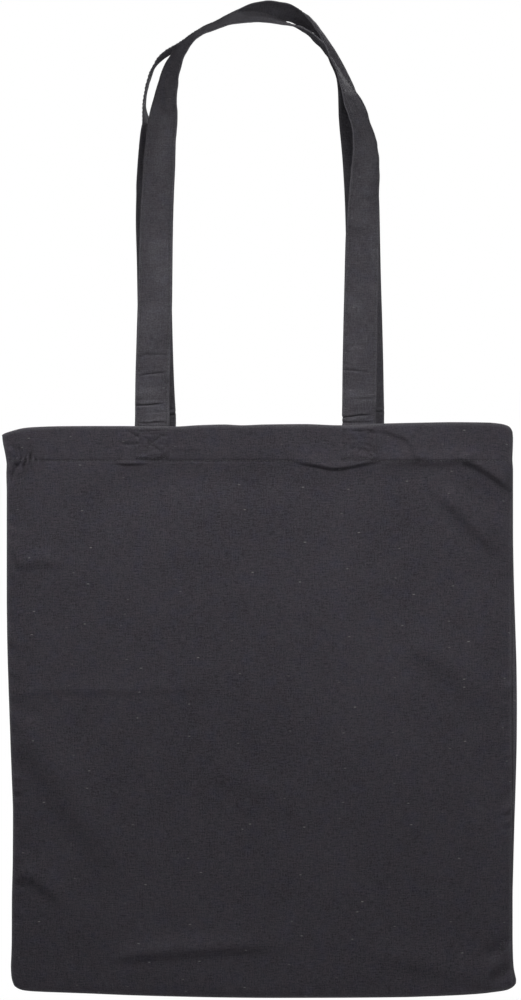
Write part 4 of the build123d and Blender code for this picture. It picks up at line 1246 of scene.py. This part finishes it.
def thread(name, dark, light):
    """Two-ply sewing thread: plies twisted round each other, a little fuzz."""
    g = Tree(name)
    uv = g.uv.outputs["UV"]
    w = g.t.nodes.new("ShaderNodeTexWave")
    w.wave_type, w.bands_direction = "BANDS", "DIAGONAL"
    g.link(g.scaled(uv, (1500, 1500, 1)), w.inputs["Vector"])
    w.inputs["Scale"].default_value = 1.0
    w.inputs["Distortion"].default_value = 0.6
    w.inputs["Detail"].default_value = 1.0
    fuzz = g.noise(g.scaled(uv, (3000, 3000, 1)), 1.0, 2.0)
    tone = g.math("ADD", g.math("MULTIPLY", w.outputs["Fac"], 0.6), g.math("MULTIPLY", fuzz, 0.4))
    col = g.ramp(tone, [(0.1, dark), (0.9, light)])
    b = g.t.nodes.new("ShaderNodeBsdfPrincipled")
    g.link(col, b.inputs["Base Color"])
    g.link(g.remap(fuzz, 0, 1, 0.65, 0.9), b.inputs["Roughness"])
    b.inputs["Specular IOR Level"].default_value = 0.25
    b.inputs["Sheen Weight"].default_value = 0.25
    b.inputs["Sheen Roughness"].default_value = 0.5
    g.link(g.bump(w.outputs["Fac"], 0.6, 0.00012, g.bump(fuzz, 0.3, 0.0001)), b.inputs["Normal"])
    g.link(b.outputs[0], g.out.inputs["Surface"])
    return g.mat


# the third colour of each canvas is the paler one painted along edges, folds and crests: partly rubbed cloth, partly
# painted highlight
body_cloth = canvas("canvas_body", (0.0218, 0.0202, 0.0245), (0.0575, 0.0538, 0.0640), (0.095, 0.092, 0.10))
strap_cloth = canvas("canvas_strap", (0.027, 0.0255, 0.030), (0.068, 0.065, 0.074), (0.11, 0.107, 0.118), pitch=0.62, mottle=0.7, nep=0.5)
sew_thread = thread("thread_sewing", (0.014, 0.013, 0.015), (0.040, 0.0375, 0.042))
lock_thread = thread("thread_overlock", (0.022, 0.021, 0.024), (0.060, 0.057, 0.063))


def wear_material(ob, m):
    ob.data.materials.clear()
    ob.data.materials.append(m)


for o in (front_left, front_right, back, seam_l, seam_r, seam_b):
    wear_material(o, body_cloth)
for o in (handle_front, handle_back):
    wear_material(o, strap_cloth)
for o in (hem_thread_left, hem_thread_right, hem_thread_back, cross_fl, cross_fr, cross_bl, cross_br, thread_handle_f, thread_handle_b):
    wear_material(o, sew_thread)
for o in (lock_l, lock_r, lock_b):
    wear_material(o, lock_thread)

# ---------------------------------------------------------------------------
# What each piece stands for, and how it moves
for o in (front_left, hem_thread_left):
    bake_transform(o)
for o in (front_right, hem_thread_right):
    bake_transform(o)
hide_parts("front_panel", "front_hem")
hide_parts("front_panel", "front_hem")
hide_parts("front_hem_stitching")
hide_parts("front_hem_stitching")
for o, nodes, body in (
    (back, ("back_panel", "back_hem"), "bag"),
    (seam_l, ("left_side_seam",), "bag"),
    (seam_r, ("right_side_seam",), "bag"),
    (seam_b, ("bottom_seam",), "bag"),
    (lock_l, ("left_seam_overlock",), "bag"),
    (lock_r, ("right_seam_overlock",), "bag"),
    (lock_b, ("bottom_seam_overlock",), "bag"),
    (hem_thread_back, ("back_hem_stitching",), "bag"),
    (cross_bl, ("back_left_cross_stitch",), "bag"),
    (cross_br, ("back_right_cross_stitch",), "bag"),
    (cross_fl, ("front_left_cross_stitch",), "front_panel"),
    (cross_fr, ("front_right_cross_stitch",), "front_panel"),
):
    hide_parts(*nodes)
    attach(o, body)

for o, nodes in ((handle_front, ("front_handle", "front_handle_left_end", "front_handle_right_end")), (thread_handle_f, ("front_handle_stitching",))):
    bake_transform(o)
    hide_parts(*nodes)
for o, nodes in ((handle_back, ("back_handle", "back_handle_left_end", "back_handle_right_end")), (thread_handle_b, ("back_handle_stitching",))):
    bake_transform(o)
    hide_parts(*nodes)

# The length of a panel's cloth as it was cut, folded hem included
hem_len = MOUTH - BOTTOM + HEM_DEPTH
print("strap lengths mm", round(q_a[-1]), round(q_b[-1]))

# ---------------------------------------------------------------------------
# Studio: pale floor, white surround, soft lights, a long lens straight at the front
floor_me = bpy.data.meshes.new("studio_floor")
bm = bmesh.new()
bmesh.ops.create_circle(bm, cap_ends=True, radius=2.4, segments=128)
bm.to_mesh(floor_me)
bm.free()
floor = bpy.data.objects.new("studio_floor", floor_me)
bpy.context.scene.collection.objects.link(floor)
floor.location = (0, 0, BOTTOM * MM - 0.16)
fm = bpy.data.materials.new("studio_floor_paper")
fm.use_nodes = True
fb = fm.node_tree.nodes["Principled BSDF"]
fb.inputs["Base Color"].default_value = (0.86, 0.86, 0.87, 1)
fb.inputs["Roughness"].default_value = 0.9
# the paper keeps pale all over: it shows a little brighter than the small lights alone would make it
fl = fm.node_tree.nodes.new("ShaderNodeLightPath")
fg = fm.node_tree.nodes.new("ShaderNodeMath")
fg.operation = "MULTIPLY"
fm.node_tree.links.new(fl.outputs["Is Camera Ray"], fg.inputs[0])
fg.inputs[1].default_value = 0.44
fb.inputs["Emission Color"].default_value = (1, 1, 1, 1)
fm.node_tree.links.new(fg.outputs[0], fb.inputs["Emission Strength"])
floor_me.materials.append(fm)

world = bpy.data.worlds.new("studio")
bpy.context.scene.world = world
world.use_nodes = True
wt = world.node_tree
wt.nodes.clear()
wo = wt.nodes.new("ShaderNodeOutputWorld")
bg_see, bg_lit = wt.nodes.new("ShaderNodeBackground"), wt.nodes.new("ShaderNodeBackground")
bg_see.inputs[0].default_value = (1, 1, 1, 1)
bg_see.inputs[1].default_value = 1.0
bg_lit.inputs[0].default_value = (1.0, 1.0, 1.0, 1)
bg_lit.inputs[1].default_value = 0.02
lp, mx = wt.nodes.new("ShaderNodeLightPath"), wt.nodes.new("ShaderNodeMixShader")
wt.links.new(lp.outputs["Is Camera Ray"], mx.inputs[0])
wt.links.new(bg_lit.outputs[0], mx.inputs[1])
wt.links.new(bg_see.outputs[0], mx.inputs[2])
wt.links.new(mx.outputs[0], wo.inputs[0])


def softbox(name, at, target, size, power):
    ld = bpy.data.lights.new(name, "AREA")
    ld.shape = "RECTANGLE"
    ld.size, ld.size_y = size
    ld.energy = power
    lo = bpy.data.objects.new(name, ld)
    bpy.context.scene.collection.objects.link(lo)
    lo.location = at
    lo.rotation_mode = "QUATERNION"
    lo.rotation_quaternion = (Vector(target) - Vector(at)).to_track_quat("-Z", "Y")
    return lo


softbox("key", (0.20, -0.72, 0.29), (0, 0, -0.30), (0.3, 0.3), 4.6)
softbox("side", (-1.2, -0.45, -0.1), (0, 0, -0.4), (0.5, 0.9), 1.8)
strip = softbox("strip", (-0.08, -0.34, 0.06), (0, 0, -0.50), (0.7, 0.08), 0.50)
strip.data.spread = math.radians(70)
softbox("fill_left", (-0.80, -0.85, 0.10), (0, 0, -0.25), (0.3, 0.3), 2.6)
softbox("fill_right", (0.85, -0.75, 0.05), (0, 0, -0.25), (0.3, 0.3), 1.8)
softbox("rear", (0.50, 0.90, 0.50), (0, 0, -0.40), (0.6, 0.4), 12)

cam_data = bpy.data.cameras.new("camera")
cam_data.type = "PERSP"
cam_data.sensor_fit = "AUTO"
cam_data.sensor_width = 36
cam_data.lens = 36 * CAM_DIST / VIEW_W
cam_data.clip_start, cam_data.clip_end = 0.5, 60
cam = bpy.data.objects.new("camera", cam_data)
bpy.context.scene.collection.objects.link(cam)
cam.location = (CAM_X, CAM_REF_Y - CAM_DIST, CAM_Z)
cam.rotation_euler = (math.pi / 2, 0, 0)
bpy.context.scene.camera = cam
bpy.context.scene.view_settings.view_transform = "Standard"

bpy.context.view_layer.update()
